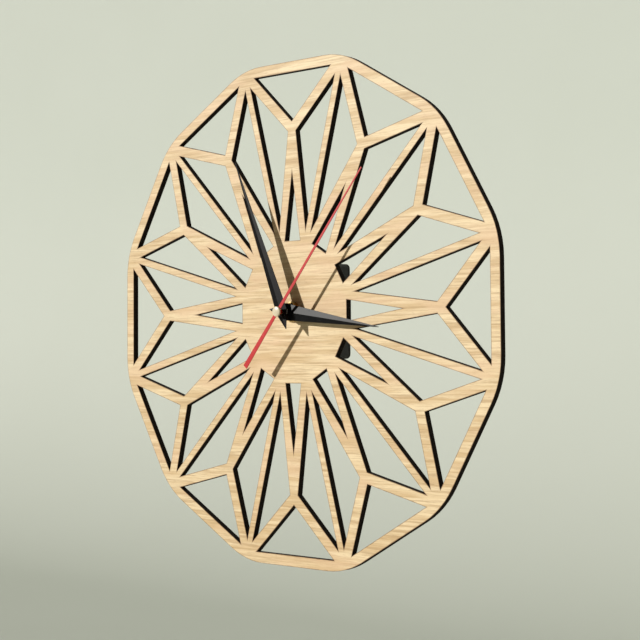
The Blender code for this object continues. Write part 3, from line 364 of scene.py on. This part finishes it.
BRASS = (0.80, 0.58, 0.25)
BRASS_TARNISH = (0.52, 0.34, 0.13)
TOOL_MARKS_OUT = 26  # radians of their wave in a millimetre away from the axis
TOOL_MARKS_ALONG = 18  # and along it


def turned_brass():
    """Brass turned from bar: rings round the arbor's axis and a light brown tarnish away from the cuts."""
    finish = Finish("turned_brass")
    off_axis = (finish.x * finish.x + finish.z * finish.z).maths("SQRT")
    rings = (off_axis * TOOL_MARKS_OUT + finish.y * TOOL_MARKS_ALONG).maths("SINE") * 0.5 + 0.5
    tarnish = finish.grain((1.8, 1.8, 1.8), detail=4, rough=0.6).rise(0.4, 0.75)
    scratch = finish.grain((0.08, 0.5, 1.2), detail=3)
    return finish.shade({
        "Base Color": finish.mix(tarnish * 0.55, BRASS, BRASS_TARNISH),
        "Metallic": 1.0,
        "Roughness": 0.2 + tarnish * 0.15 + scratch * 0.1,
        "Normal": finish.bump(rings * 0.5 + scratch * 0.5, depth=0.006 * MM),
    })


TURNED_BRASS = turned_brass()
dress(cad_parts["minute_arbor"], TURNED_BRASS)

# Gear bridge: a plate moulded in natural acetal that closes the wheels' room.
# It drops over the four pins of the case, which are then flattened with heat.

dress(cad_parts["gear_bridge"], NATURAL_ACETAL)

# Stepping motor: a stator and a core stamped from silicon steel, and a coil of enamelled copper wire
# on a moulded bobbin. The core lies across the stator's two legs and closes its iron circuit.

CORE_STEEL = (0.30, 0.31, 0.34)
CORE_STEEL_TEMPER = (0.20, 0.19, 0.22)
WIRE = (0.72, 0.28, 0.12)
WIRE_DARK = (0.42, 0.13, 0.05)
WIRE_DIAMETER = 0.09  # millimetres
BOBBIN_EDGE = 0.12 * MM


def rolled_core_steel():
    """Annealed silicon steel: rolling lines along the strip and a bluish temper bloom."""
    finish = Finish("rolled_core_steel")
    rolled = finish.grain((4, 0.5, 0.12), detail=4)
    temper = finish.grain((5, 5, 5), detail=2).rise(0.35, 0.7)
    return finish.shade({
        "Base Color": finish.mix(temper, CORE_STEEL, CORE_STEEL_TEMPER),
        "Metallic": 1.0,
        "Roughness": 0.38 + rolled * 0.14 + temper * 0.06,
        "Normal": finish.bump(rolled, depth=0.008 * MM),
    })


def wound_wire():
    """Layers of fine enamelled wire: each turn is a ridge, and some turns ride over the layer below."""
    finish = Finish("wound_wire")
    stray = finish.grain((1.2, 0.8, 0.8), detail=3)
    turns = ((finish.x + stray * 0.25) * (2 * math.pi / WIRE_DIAMETER)).maths("SINE") * 0.5 + 0.5
    return finish.shade({
        "Base Color": finish.mix(turns * 0.6 + stray * 0.4, WIRE_DARK, WIRE),
        "Metallic": 1.0,
        "Roughness": 0.3 + stray * 0.15,
        "Normal": finish.bump(turns, depth=0.03 * MM),
    })


CORE_LAMINATION = rolled_core_steel()
dress(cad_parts["stator"], CORE_LAMINATION)
dress(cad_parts["coil_core"], CORE_LAMINATION)
bobbin = soften(copy_of("coil_bobbin", "bobbin_moulding"), BOBBIN_EDGE)
dress(bobbin, NATURAL_ACETAL)
stand_for(bobbin, "coil_bobbin", "movement")
dress(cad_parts["coil_winding"], wound_wire())

# Circuit board: glass epoxy with a green solder mask. The chip sits under a drop of black resin, and
# the quartz crystal in its drawn steel can beside it. Two strip contacts bring the cell's current.

MASK_GREEN = (0.012, 0.10, 0.04)
TRACE_GREEN = (0.03, 0.19, 0.075)
TINNED_PAD = (0.45, 0.45, 0.43)
RESIN_BLACK = (0.010, 0.010, 0.011)
RESIN_DUST = (0.05, 0.05, 0.05)
TRACKS_PER_MM = 0.45
PADS_PER_MM = 0.3
GLASS_CLOTH = 7  # radians of its weave in a millimetre


def printed_board():
    """Green mask over copper tracks, with a few tinned pads and the weave of the glass cloth under it."""
    finish = Finish("printed_board")
    sockets = {"Vector": finish.place, "Scale": TRACKS_PER_MM, "Randomness": 0.6}
    track = 1 - finish.node("TexVoronoi", {"feature": "DISTANCE_TO_EDGE"}, sockets).rise(0.05, 0.1)
    sockets = {"Vector": finish.place, "Scale": PADS_PER_MM, "Randomness": 0.8}
    spots = finish.node("TexVoronoi", {}, sockets)
    pad = 1 - spots.rise(0.16, 0.2)
    weave = (finish.x * GLASS_CLOTH).maths("SINE") * (finish.z * GLASS_CLOTH).maths("SINE") * 0.5 + 0.5
    masked = finish.mix(track, MASK_GREEN, TRACE_GREEN)
    return finish.shade({
        "Base Color": finish.mix(pad, masked, TINNED_PAD),
        "Roughness": 0.35 + weave * 0.1,
        "Metallic": pad,
        "Normal": finish.bump(track * 0.6 + weave * 0.2 + pad * 0.4, depth=0.04 * MM),
    })


def potting_resin():
    """Black epoxy that was dispensed as a drop and cured: glossy, with dust and slow ripples."""
    finish = Finish("potting_resin")
    ripple = finish.grain((2, 2, 2), detail=2)
    dust = finish.grain((0.1, 0.1, 0.1), detail=1).rise(0.68, 0.74)
    return finish.shade({
        "Base Color": finish.mix(dust, RESIN_BLACK, RESIN_DUST),
        "Roughness": 0.2 + ripple * 0.1 + dust * 0.3,
        "Normal": finish.bump(ripple, depth=0.05 * MM),
    })


dress(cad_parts["circuit_board"], printed_board())
dress(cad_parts["clock_chip"], potting_resin())
for steel_part in ("quartz_crystal", "battery_contact_plus", "battery_contact_minus"):
    dress(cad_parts[steel_part], TURNED_STEEL)

# Setting knob: a ribbed thumb wheel behind the clock, moulded in natural acetal with its stem and
# pinion. It turns the motion wheel, and so both hands.

KNOB_EDGE = 0.12 * MM

knob = soften(copy_of("setting_knob", "thumb_knob"), KNOB_EDGE)
dress(knob, NATURAL_ACETAL)
stand_for(knob, "setting_knob", "knob")

# Rear cover: moulded in black ABS. It clips into the case, holds the rotor's rear bearing, and its
# tab with the eye hangs the clock on a nail. The battery goes in through the window at the bottom.

COVER_EDGE = 0.2 * MM

cover = soften(copy_of("rear_cover", "cover_moulding"), COVER_EDGE)
dress(cover, BLACK_ABS)
stand_for(cover, "rear_cover", "movement")

# Battery: an AA cell in a printed sleeve that is shrunk over the edges of its steel can.
# The spring of the minus contact pushes it against the plus contact.

CELL_LOW, CELL_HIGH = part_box("battery")
CELL_RADIUS = (CELL_HIGH.z - CELL_LOW.z) / 2
CELL_MIDDLE = (CELL_LOW + CELL_HIGH) / 2
CELL_SIDES = 64
CELL_EDGE = 0.2 * MM
CELL_NUB_LENGTH = 1.1 * MM
CELL_NUB_RADIUS = 2.75 * MM
CELL_NUB_FOOT = 0.25 * MM
CELL_SLEEVE_LIP = 1.3 * MM
CELL_SLEEVE_ROUND = 0.8 * MM
CELL_STEP_DEPTH = 0.25 * MM  # from the lip of the sleeve down to the bare can
CELL_STEP_RUN = 0.05 * MM
CELL_MINUS_RIM = 1.3 * MM
CELL_DISH_RUN = 0.3 * MM
CELL_DISH_DEPTH = 0.15 * MM
CELL_BAND_START = 14  # millimetres towards the plus end
CELL_BAND_BLUR = 0.2
LOOKS_ALONG = 0.9  # a face looks along an axis if its normal has this much of it
CELL_SLEEVE = (0.20, 0.22, 0.25)
CELL_SLEEVE_BAND = (0.62, 0.63, 0.64)


def cell_sleeve():
    """A grey metallic sleeve with a pale band at the plus end, and bare steel inside the two lips."""
    finish = Finish("cell_sleeve_and_steel")
    behind = finish.y - CELL_MIDDLE.y / MM
    above = finish.z - CELL_MIDDLE.z / MM
    off_axis = (behind * behind + above * above).maths("SQRT")
    lip_inside = (CELL_RADIUS - CELL_SLEEVE_LIP) / MM
    bare = 1 - off_axis.rise(lip_inside - SEAM_BLUR, lip_inside)
    band = finish.x.rise(CELL_BAND_START, CELL_BAND_START + CELL_BAND_BLUR)
    crease = finish.grain((0.5, 2, 2), detail=3)
    scuff = finish.grain((3, 1, 1), detail=4).rise(0.55, 0.8)
    sleeve = finish.mix(band, CELL_SLEEVE, CELL_SLEEVE_BAND)
    return finish.shade({
        "Base Color": finish.mix(bare, sleeve, STEEL_BRIGHT),
        "Metallic": 0.35 + bare * 0.65,
        "Roughness": 0.26 + scuff * 0.2 + crease * 0.06,
        "Normal": finish.bump(crease, depth=0.03 * MM),
    })


bpy.ops.mesh.primitive_cylinder_add(
    vertices=CELL_SIDES,
    radius=CELL_RADIUS,
    depth=CELL_HIGH.x - CELL_LOW.x - CELL_NUB_LENGTH,
    location=CELL_MIDDLE - Vector((CELL_NUB_LENGTH / 2, 0, 0)),
    rotation=(0, math.radians(90), 0),
)
cell = named("cell")
for outward in (1, -1):
    edit(cell, lambda face: face.normal.x * outward > LOOKS_ALONG)
    bpy.ops.mesh.inset(thickness=CELL_SLEEVE_ROUND)
    bpy.ops.mesh.inset(thickness=CELL_SLEEVE_LIP - CELL_SLEEVE_ROUND)
    bpy.ops.mesh.inset(thickness=CELL_STEP_RUN)
    bpy.ops.transform.translate(value=(-outward * CELL_STEP_DEPTH, 0, 0))
    if outward > 0:
        nub_outside = CELL_NUB_RADIUS + CELL_NUB_FOOT
        bpy.ops.mesh.inset(thickness=CELL_RADIUS - CELL_SLEEVE_LIP - CELL_STEP_RUN - nub_outside)
        bpy.ops.mesh.inset(thickness=CELL_NUB_FOOT)
        nub_rise = (CELL_NUB_LENGTH + CELL_STEP_DEPTH, 0, 0)
        bpy.ops.mesh.extrude_region_move(TRANSFORM_OT_translate={"value": nub_rise})
    else:
        bpy.ops.mesh.inset(thickness=CELL_MINUS_RIM)
        bpy.ops.mesh.inset(thickness=CELL_DISH_RUN)
        bpy.ops.transform.translate(value=(CELL_DISH_DEPTH, 0, 0))
    close_edit()
soften(cell, CELL_EDGE, segments=3, above=40)
dress(cell, cell_sleeve())
stand_for(cell, "battery", "movement")

# Rubber washer: punched from black sheet rubber. It lies between the case and the dial, and takes up
# the play when the nut is tightened.

RUBBER_EDGE = 0.08 * MM
CLOTH_PRINT = 12  # radians of its weave in a millimetre
RUBBER_BLACK = (0.020, 0.020, 0.020)
RUBBER_GREY = (0.055, 0.054, 0.052)


def sheet_rubber():
    """Matt black rubber with the print of the cloth that it was rolled on, and a grey bloom."""
    finish = Finish("sheet_rubber")
    cloth = (finish.x * CLOTH_PRINT).maths("SINE") * (finish.z * CLOTH_PRINT).maths("SINE") * 0.5 + 0.5
    bloom = finish.grain((3, 3, 3), detail=4).rise(0.35, 0.8)
    return finish.shade({
        "Base Color": finish.mix(bloom, RUBBER_BLACK, RUBBER_GREY),
        "Roughness": 0.8 + bloom * 0.12,
        "Normal": finish.bump(cloth, depth=0.03 * MM),
    })


rubber = soften(copy_of("rubber_washer", "washer_rubber"), RUBBER_EDGE)
dress(rubber, sheet_rubber())
stand_for(rubber, "rubber_washer", "movement")

# Dial: one board with an oak veneer on each side, laser cut into a lattice of twelve like sectors.
# The beam leaves the cut walls charred and a thin brown line of scorch along the edges of the faces.

DIAL_LOW, DIAL_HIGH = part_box("dial")
DIAL_EDGE = 0.08 * MM
ACROSS_FLATS = (DIAL_HIGH.z - DIAL_LOW.z) / MM  # from here on the lattice is in millimetres
CORNER_ROUNDING = 53.0
RIM_WIDTH = 6.4
RIM_WINDOW_DEPTH = 29.7
RIM_POST_WIDTH = 13.9
STRUT_WIDTH = 6.5
SPOKE_WIDTH = 4.5
STEM_WIDTH = 6.4
LONG_WINDOW_END_RADIUS = 49.6
SLOT_TIP_RADIUS = 83.5
SLOT_BASE_RADIUS = 42.3
SLOT_BASE_WIDTH = 12.4
HALF_SECTOR = math.radians(15)
SCORCH_WIDTH = 0.55
PLY = 0.8
WALL_START, WALL_FULL = 0.02, 0.1  # how far inside a face its wall begins and is charred all over
OAK_PALE = (0.885, 0.715, 0.45)
OAK_WARM = (0.69, 0.50, 0.265)
OAK_LINE = (0.48, 0.315, 0.15)
OAK_PORE = (0.34, 0.20, 0.09)
OAK_PINK = (0.79, 0.55, 0.34)
CHAR = (0.009, 0.005, 0.003)
CHAR_BROWN = (0.050, 0.026, 0.012)
SCORCH_BROWN = (0.20, 0.095, 0.038)


def oak_board():
    """Pale oak veneer with its grain along X, scorched at its edges, and charred walls."""
    finish = Finish("oak_veneer_and_char")

    # Every place is folded into one half of a sector: out along the sector's middle and up from it.
    angle = finish.z.maths("ARCTAN2", finish.x)
    from_middle = abs(angle - (angle / (2 * HALF_SECTOR)).maths("ROUND") * (2 * HALF_SECTOR))
    radius = (finish.x * finish.x + finish.z * finish.z).maths("SQRT")
    out = radius * from_middle.maths("COSINE")
    up = radius * from_middle.maths("SINE")

    def beyond(start, end):
        """How far a place lies to the left of the line from one corner of a sector to another."""
        along = (end - start).normalized()
        return (up - start.y) * along.x - (out - start.x) * along.y

    rim_inside = ACROSS_FLATS / 2 - RIM_WIDTH
    spoke = Vector((math.cos(HALF_SECTOR), math.sin(HALF_SECTOR)))
    spoke_side = Vector((spoke.y, -spoke.x)) * SPOKE_WIDTH / 2
    tip = Vector((rim_inside - RIM_WINDOW_DEPTH, 0))
    rim_corner = Vector((rim_inside, (rim_inside * spoke.y - RIM_POST_WIDTH / 2) / spoke.x))
    strut = (rim_corner - tip).normalized()
    strut_inside = tip + Vector((-strut.y, strut.x)) * STRUT_WIDTH
    stem_corner = strut_inside + strut * ((STEM_WIDTH / 2 - strut_inside.y) / strut.y)
    to_spoke = (spoke_side - strut_inside).cross(spoke) / strut.cross(spoke)
    spoke_corner = strut_inside + strut * to_spoke
    end_corner = spoke_side + spoke * LONG_WINDOW_END_RADIUS
    slot_corner = Vector((SLOT_BASE_RADIUS, SLOT_BASE_WIDTH / 2))
    slot_tip = Vector((SLOT_TIP_RADIUS, 0))

    # How far a place on a face lies from each kind of window, and from the outside of the board.
    to_rim_window = beyond(tip, rim_corner).most(out - rim_inside)
    to_long_window = beyond(spoke_corner, stem_corner).most(beyond(stem_corner, end_corner))
    to_long_window = to_long_window.most(beyond(end_corner, spoke_corner))
    to_slot = (beyond(slot_tip, slot_corner) * -1).most(SLOT_BASE_RADIUS - out)
    rounding_start = ACROSS_FLATS / 2 - CORNER_ROUNDING
    from_flat = (out - rounding_start).most(0)
    past_flat = (up - rounding_start * math.tan(HALF_SECTOR)).most(0)
    to_outside = CORNER_ROUNDING - (from_flat * from_flat + past_flat * past_flat).maths("SQRT")
    to_edge = to_rim_window.least(to_long_window).least(to_slot).least(to_outside)

    # Broad rings, the thinner lines and fibres in them, open pores, and pinkish patches.
    rings = finish.grain((60, 60, 3.4), detail=3, rough=0.5, twist=0.5)
    lines = finish.grain((34, 34, 1.1), detail=3, rough=0.55, twist=0.25)
    fibre = finish.grain((14, 14, 0.6), detail=4, rough=0.65)
    pores = finish.grain((3.2, 3.2, 0.24), detail=3, rough=0.6)
    patch = finish.grain((40, 40, 11), detail=2)
    pore = pores.rise(0.58, 0.72) * (0.3 + lines * 0.8)
    oak = finish.mix(rings.rise(0.34, 0.66), OAK_PALE, OAK_WARM)
    oak = finish.mix(lines.rise(0.50, 0.66) * 0.55, oak, OAK_LINE)
    oak = finish.mix(fibre.rise(0.48, 0.66) * 0.4, oak, OAK_LINE)
    oak = finish.mix(patch.rise(0.45, 0.65) * 0.5, oak, OAK_PINK)
    oak = finish.mix(pore * 0.5, oak, OAK_PORE)

    flare = finish.grain((3.5, 3.5, 3.5), detail=3)
    scorched = 1 - (to_edge / SCORCH_WIDTH - flare * 0.9).rise(-0.25, 0.55)
    face = finish.mix(scorched * 0.8, oak, SCORCH_BROWN)

    depth = -1 * finish.y
    rear, front = -DIAL_HIGH.y / MM, -DIAL_LOW.y / MM
    wall = (depth - rear).least(front - depth).rise(WALL_START, WALL_FULL)
    streak = finish.grain((0.5, 3, 0.5), detail=4)
    layer = ((depth - rear) * (2 * math.pi / PLY)).maths("SINE") * 0.5 + 0.5
    charred = finish.mix(streak.rise(0.45, 0.8) * (0.4 + layer * 0.4), CHAR, CHAR_BROWN)
    return finish.shade({
        "Base Color": finish.mix(wall, face, charred),
        "Roughness": 0.50 + fibre * 0.12 + wall * 0.22,
        "Specular IOR Level": 0.1,
        "Coat Weight": (1 - wall) * 0.45,
        "Coat Roughness": 0.48,
        "Normal": finish.bump(fibre * 0.35 - pore * 0.8 + streak * wall * 1.5, depth=0.05 * MM),
    })


board = copy_of("dial", "dial_board")
soften(board, DIAL_EDGE, segments=1)
dress(board, oak_board())
stand_for(board, "dial", "movement")

# Fixings: a brass washer and a thin hexagon nut clamp the dial on the bush.
# Both are turned from bar, and their sharp edges are broken.

FIXING_EDGE = 0.1 * MM

washer = soften(copy_of("brass_washer", "washer_brass"), FIXING_EDGE)
dress(washer, TURNED_BRASS)
stand_for(washer, "brass_washer", "movement")
nut = soften(copy_of("hex_nut", "clamp_nut"), FIXING_EDGE)
dress(nut, TURNED_BRASS)
stand_for(nut, "hex_nut", "movement")

# Hour and minute hands: stamped from thin aluminium, folded along their middle so that they stay
# stiff, and sprayed satin black. Each has a collar riveted in that presses on its tube.

HAND_SHEET = 0.4 * MM
HAND_FOLD = 0.8 * MM
HAND_TIP_HALF = 0.2 * MM
HAND_EDGE = 0.07 * MM
HOLE_SIDES = 48
PUNCH_LENGTH = 1.0
COLLAR_EDGE = 0.1 * MM
COLLAR_WALL = 0.9 * MM
COLLAR_LENGTH = 1.4 * MM
COLLAR_RIM = 0.15 * MM
COLLAR_BELOW_RIDGE = 0.6 * MM
CAD_OVER_RIDGE = 0.15 * MM  # the CAD hand's collar stands this far in front of its fold
SATIN_BLACK = (0.006, 0.006, 0.0065)
SATIN_BLACK_SCUFF = (0.018, 0.018, 0.019)


def satin_black():
    """Sprayed satin black with a fine orange peel, a few dust nibs and faint scuffs."""
    finish = Finish("satin_black_paint")
    peel = finish.grain((0.5, 0.5, 0.5), detail=2)
    nib = finish.grain((0.25, 0.25, 0.25), detail=1).rise(0.7, 0.78)
    scuff = finish.grain((6, 3, 6), detail=4).rise(0.55, 0.8)
    return finish.shade({
        "Base Color": finish.mix(scuff * 0.5 + nib * 0.5, SATIN_BLACK, SATIN_BLACK_SCUFF),
        "Roughness": 0.33 + peel * 0.04 + scuff * 0.06,
        "Specular IOR Level": 0.09,
        "Normal": finish.bump(peel * 0.7 + nib * 0.3, depth=0.008 * MM),
    })


def add_collar(name, bore, rear, front):
    """A short turned collar round the axis, bored through."""
    bpy.ops.mesh.primitive_cylinder_add(
        vertices=HOLE_SIDES,
        radius=bore + COLLAR_WALL,
        depth=front - rear,
        location=(0, -(front + rear) / 2, 0),
        rotation=(math.radians(90), 0, 0),
    )
    collar = named(name)
    edit(collar, lambda face: abs(face.normal.y) > LOOKS_ALONG)
    bpy.ops.mesh.inset(thickness=COLLAR_RIM, use_individual=True)
    bpy.ops.mesh.inset(thickness=COLLAR_WALL - COLLAR_RIM, use_individual=True)
    bpy.ops.mesh.bridge_edge_loops()
    close_edit()
    return soften(collar, COLLAR_EDGE, above=40)


def punch_hole(piece, radius):
    """Cuts a round hole through a piece along the clock's axis, no corner of it on the piece's edges."""
    half_step = math.radians(180 / HOLE_SIDES)
    bpy.ops.mesh.primitive_cylinder_add(
        vertices=HOLE_SIDES,
        radius=radius,
        depth=PUNCH_LENGTH,
        rotation=(math.radians(90), half_step, 0),
    )
    punch = bpy.context.active_object
    form(piece, "BOOLEAN", object=punch)
    bpy.data.objects.remove(punch)


def merge_into(piece, part):
    """Makes a part one mesh with a piece."""
    pick(part)
    piece.select_set(True)
    bpy.context.view_layer.objects.active = piece
    bpy.ops.object.join()


def turn_to(hand, angle):
    """Turns a finished hand from twelve to its place, clockwise as it is read."""
    pick(hand)
    hand.rotation_euler.y = angle
    bpy.ops.object.transform_apply(location=False, rotation=True, scale=False)


def stamp_hand(name, columns, place, bore):
    """A sheet hand that points to twelve, with its hole. Its blank is two rows of a grid, and the
    function gives the place of each corner from its side and end, which go from -1 to 1."""
    upright = (math.radians(90), 0, 0)
    bpy.ops.mesh.primitive_grid_add(x_subdivisions=columns, y_subdivisions=2, size=2, rotation=upright)
    hand = named(name)
    for vertex in hand.data.vertices:
        vertex.co = place(round(vertex.co.x), round(vertex.co.z))
    form(hand, "SOLIDIFY", thickness=HAND_SHEET, offset=-1)
    punch_hole(hand, bore)
    return hand


def kite_hand(name, node, length, tail, width, angle, bore):
    """A folded hand with its collar, just behind the front of its CAD node and turned to its place."""
    ridge = -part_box(node)[0].y - CAD_OVER_RIDGE

    def place(side, end):
        half = width / 2 if end == 0 else HAND_TIP_HALF
        drop = HAND_FOLD * abs(side) * half / (width / 2)
        return (side * half, drop - ridge, (length if end > 0 else -tail) * abs(end))

    hand = stamp_hand(name, 2, place, bore)
    soften(hand, HAND_EDGE, above=35, sharp_above=12)
    merge_into(hand, add_collar(name + "_collar", bore, ridge - COLLAR_LENGTH, ridge - COLLAR_BELOW_RIDGE))
    turn_to(hand, angle)
    return hand


SATIN_PAINT = satin_black()
# Lengths, widths and the radii of the bores are in millimetres, and angles in degrees from twelve.
for name, node, body, length, tail, width, angle, bore in (
    ("hour_pointer", "hour_hand", "hour", 73, 12, 10.2, 98.0, 2.7),
    ("minute_pointer", "minute_hand", "minute", 98.8, 11.1, 8.8, 337.6, 1.8),
):
    pointer = kite_hand(name, node, length * MM, tail * MM, width * MM, math.radians(angle), bore * MM)
    dress(pointer, SATIN_PAINT)
    stand_for(pointer, node, body)

# Second hand: a flat pointer stamped from thin aluminium and sprayed red, broader towards the square
# end of its tail, which balances it. A small socket behind it presses on the second arbor.

SECOND_FRONT = -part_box("second_hand")[0].y
SECOND_LENGTH = 103.1 * MM
SECOND_TAIL = 42.2 * MM
SECOND_HALF = 1.05 * MM
SECOND_TIP_HALF = 0.4 * MM
SECOND_TAIL_HALF = 1.65 * MM
SECOND_ANGLE = math.radians(39.6)
SECOND_BORE = 0.7 * MM
SECOND_SOCKET_LENGTH = 2.0 * MM
SIGNAL_RED = (0.56, 0.026, 0.030)
SIGNAL_RED_WORN = (0.64, 0.045, 0.05)


def signal_red():
    """Sprayed red gloss with a fine orange peel and slightly thinner paint along the edges."""
    finish = Finish("signal_red_paint")
    peel = finish.grain((0.5, 0.5, 0.5), detail=2)
    thin = finish.grain((3, 3, 3), detail=4).rise(0.5, 0.8)
    return finish.shade({
        "Base Color": finish.mix(thin * 0.6, SIGNAL_RED, SIGNAL_RED_WORN),
        "Roughness": 0.32 + peel * 0.06 + thin * 0.08,
        "Specular IOR Level": 0.25,
        "Normal": finish.bump(peel, depth=0.01 * MM),
    })


def second_corner(side, end):
    """A corner of the blank: at the tail for the end -1, on the axis for 0 and at the tip for 1."""
    half = {-1: SECOND_TAIL_HALF, 0: SECOND_HALF, 1: SECOND_TIP_HALF}[end]
    return (side * half, -SECOND_FRONT, (SECOND_LENGTH if end > 0 else -SECOND_TAIL) * abs(end))


second = stamp_hand("second_pointer", 1, second_corner, SECOND_BORE)
soften(second, HAND_EDGE, above=35)
socket_rear = SECOND_FRONT - SECOND_SOCKET_LENGTH
merge_into(second, add_collar("second_socket", SECOND_BORE, socket_rear, SECOND_FRONT - HAND_SHEET / 2))
turn_to(second, SECOND_ANGLE)
dress(second, signal_red())
stand_for(second, "second_hand", "second")

# Cap: a low dome moulded in ivory ABS and polished.
# It is pressed on the end of the second arbor, over the second hand.

CAP_REAR = -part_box("second_cap")[1].y
CAP_RADIUS = 3.0 * MM
CAP_RIM = 0.6 * MM
CAP_DOME = 0.6 * MM
CAP_EDGE = 0.06 * MM
CAP_TOLERANCE = 0.001 * MM  # keeps the ring at the dome's foot in front
IVORY = (0.74, 0.66, 0.48)
IVORY_SHADE = (0.68, 0.59, 0.41)


def ivory_abs():
    """Polished ivory ABS, a little yellowed, with a soft swirl from the moulding."""
    finish = Finish("ivory_abs")
    swirl = finish.grain((1.6, 1.6, 1.6), detail=3, twist=1.0)
    return finish.shade({
        "Base Color": finish.mix(swirl.rise(0.35, 0.8), IVORY, IVORY_SHADE),
        "Roughness": 0.22 + swirl * 0.1,
        "Normal": finish.bump(swirl, depth=0.01 * MM),
    })


bpy.ops.mesh.primitive_uv_sphere_add(
    segments=48,
    ring_count=24,
    radius=CAP_RADIUS,
    location=(0, -CAP_REAR - CAP_RIM, 0),
    rotation=(math.radians(90), 0, 0),
)
cap = named("ivory_cap", scale=(1, 1, CAP_DOME / CAP_RADIUS))
for vertex in cap.data.vertices:
    if vertex.co.y > CAP_TOLERANCE - CAP_REAR - CAP_RIM:
        vertex.co.y = -CAP_REAR
soften(cap, CAP_EDGE, above=60, sharp_above=40)
dress(cap, ivory_abs())
stand_for(cap, "second_cap", "second")

# Studio: a pale floor that sweeps up into a wall well behind the clock, so wide that no view from the
# side sees its end. One key light comes from the upper left, and a dim warm light from all round.

FLOOR_BELOW = 0.45
FLOOR_WIDTH = 120.0
FLOOR_BEFORE = 60.0
SWEEP_BEHIND = 2.0
SWEEP_HEIGHT = 5.0
SWEEP_RADIUS = 0.9
SWEEP_SEGMENTS = 24
KEY_FROM = Vector((-0.80, -1.0, 0.42))
KEY_STRENGTH = 3.57
KEY_COLOUR = (1.0, 0.97, 0.92)
KEY_WIDTH = math.radians(1.4)
ROOM = (1.0, 0.70, 0.50)
ROOM_STRENGTH = 0.09
FLOOR_PALE = (0.58, 0.625, 0.57)
FLOOR_SHADE = (0.56, 0.605, 0.545)


def plain_floor():
    """Matt pale green-grey paint with slow, faint clouds."""
    finish = Finish("plain_floor")
    cloud = finish.grain((400, 400, 400), detail=3)
    return finish.shade({
        "Base Color": finish.mix(cloud, FLOOR_PALE, FLOOR_SHADE),
        "Roughness": 0.8 + cloud * 0.1,
    })


bpy.ops.mesh.primitive_plane_add(size=1, location=(0, (SWEEP_BEHIND - FLOOR_BEFORE) / 2, -FLOOR_BELOW))
floor = named("floor", scale=(FLOOR_WIDTH, SWEEP_BEHIND + FLOOR_BEFORE, 1))
edit(floor, lambda edge: all(floor.data.vertices[end].co.y > 0 for end in edge.vertices), kind="EDGE")
bpy.ops.mesh.extrude_region_move(TRANSFORM_OT_translate={"value": (0, 0, SWEEP_HEIGHT)})
close_edit()
form(floor, "BEVEL", width=SWEEP_RADIUS, segments=SWEEP_SEGMENTS, use_clamp_overlap=False)
bpy.ops.object.shade_smooth()
dress(floor, plain_floor())

key = bpy.data.lights.new("key", "SUN")
key.energy = KEY_STRENGTH
key.color = KEY_COLOUR
key.angle = KEY_WIDTH
key_stand = bpy.data.objects.new("key", key)
key_stand.rotation_euler = KEY_FROM.to_track_quat("Z", "Y").to_euler()
bpy.context.scene.collection.objects.link(key_stand)

room = bpy.data.worlds.new("room")
room.use_nodes = True
room.node_tree.nodes["Background"].inputs["Color"].default_value = (*ROOM, 1)
room.node_tree.nodes["Background"].inputs["Strength"].default_value = ROOM_STRENGTH
bpy.context.scene.world = room
bpy.context.scene.view_settings.view_transform = "Standard"

# Camera: to the right of the clock and a little below its middle, as in the photograph.
# It looks slightly up, through a long lens that is shifted to frame the clock.

CAMERA_AT = Vector((0.6091, -0.6668, -0.0242))
CAMERA_AZIMUTH = 0.7369  # radians, as the two below
CAMERA_ELEVATION = 0.0517
CAMERA_ROLL = -0.0071
CAMERA_LENS = 84.29
CAMERA_SHIFT_UP = -0.0703

camera = bpy.data.objects.new("camera", bpy.data.cameras.new("camera"))
camera.data.lens = CAMERA_LENS
camera.data.shift_y = CAMERA_SHIFT_UP
camera.matrix_world = (
    Matrix.Translation(CAMERA_AT)
    @ Matrix.Rotation(CAMERA_AZIMUTH, 4, "Z")
    @ Matrix.Rotation(math.radians(90) + CAMERA_ELEVATION, 4, "X")
    @ Matrix.Rotation(CAMERA_ROLL, 4, "Z")
)
bpy.context.scene.collection.objects.link(camera)
bpy.context.scene.camera = camera
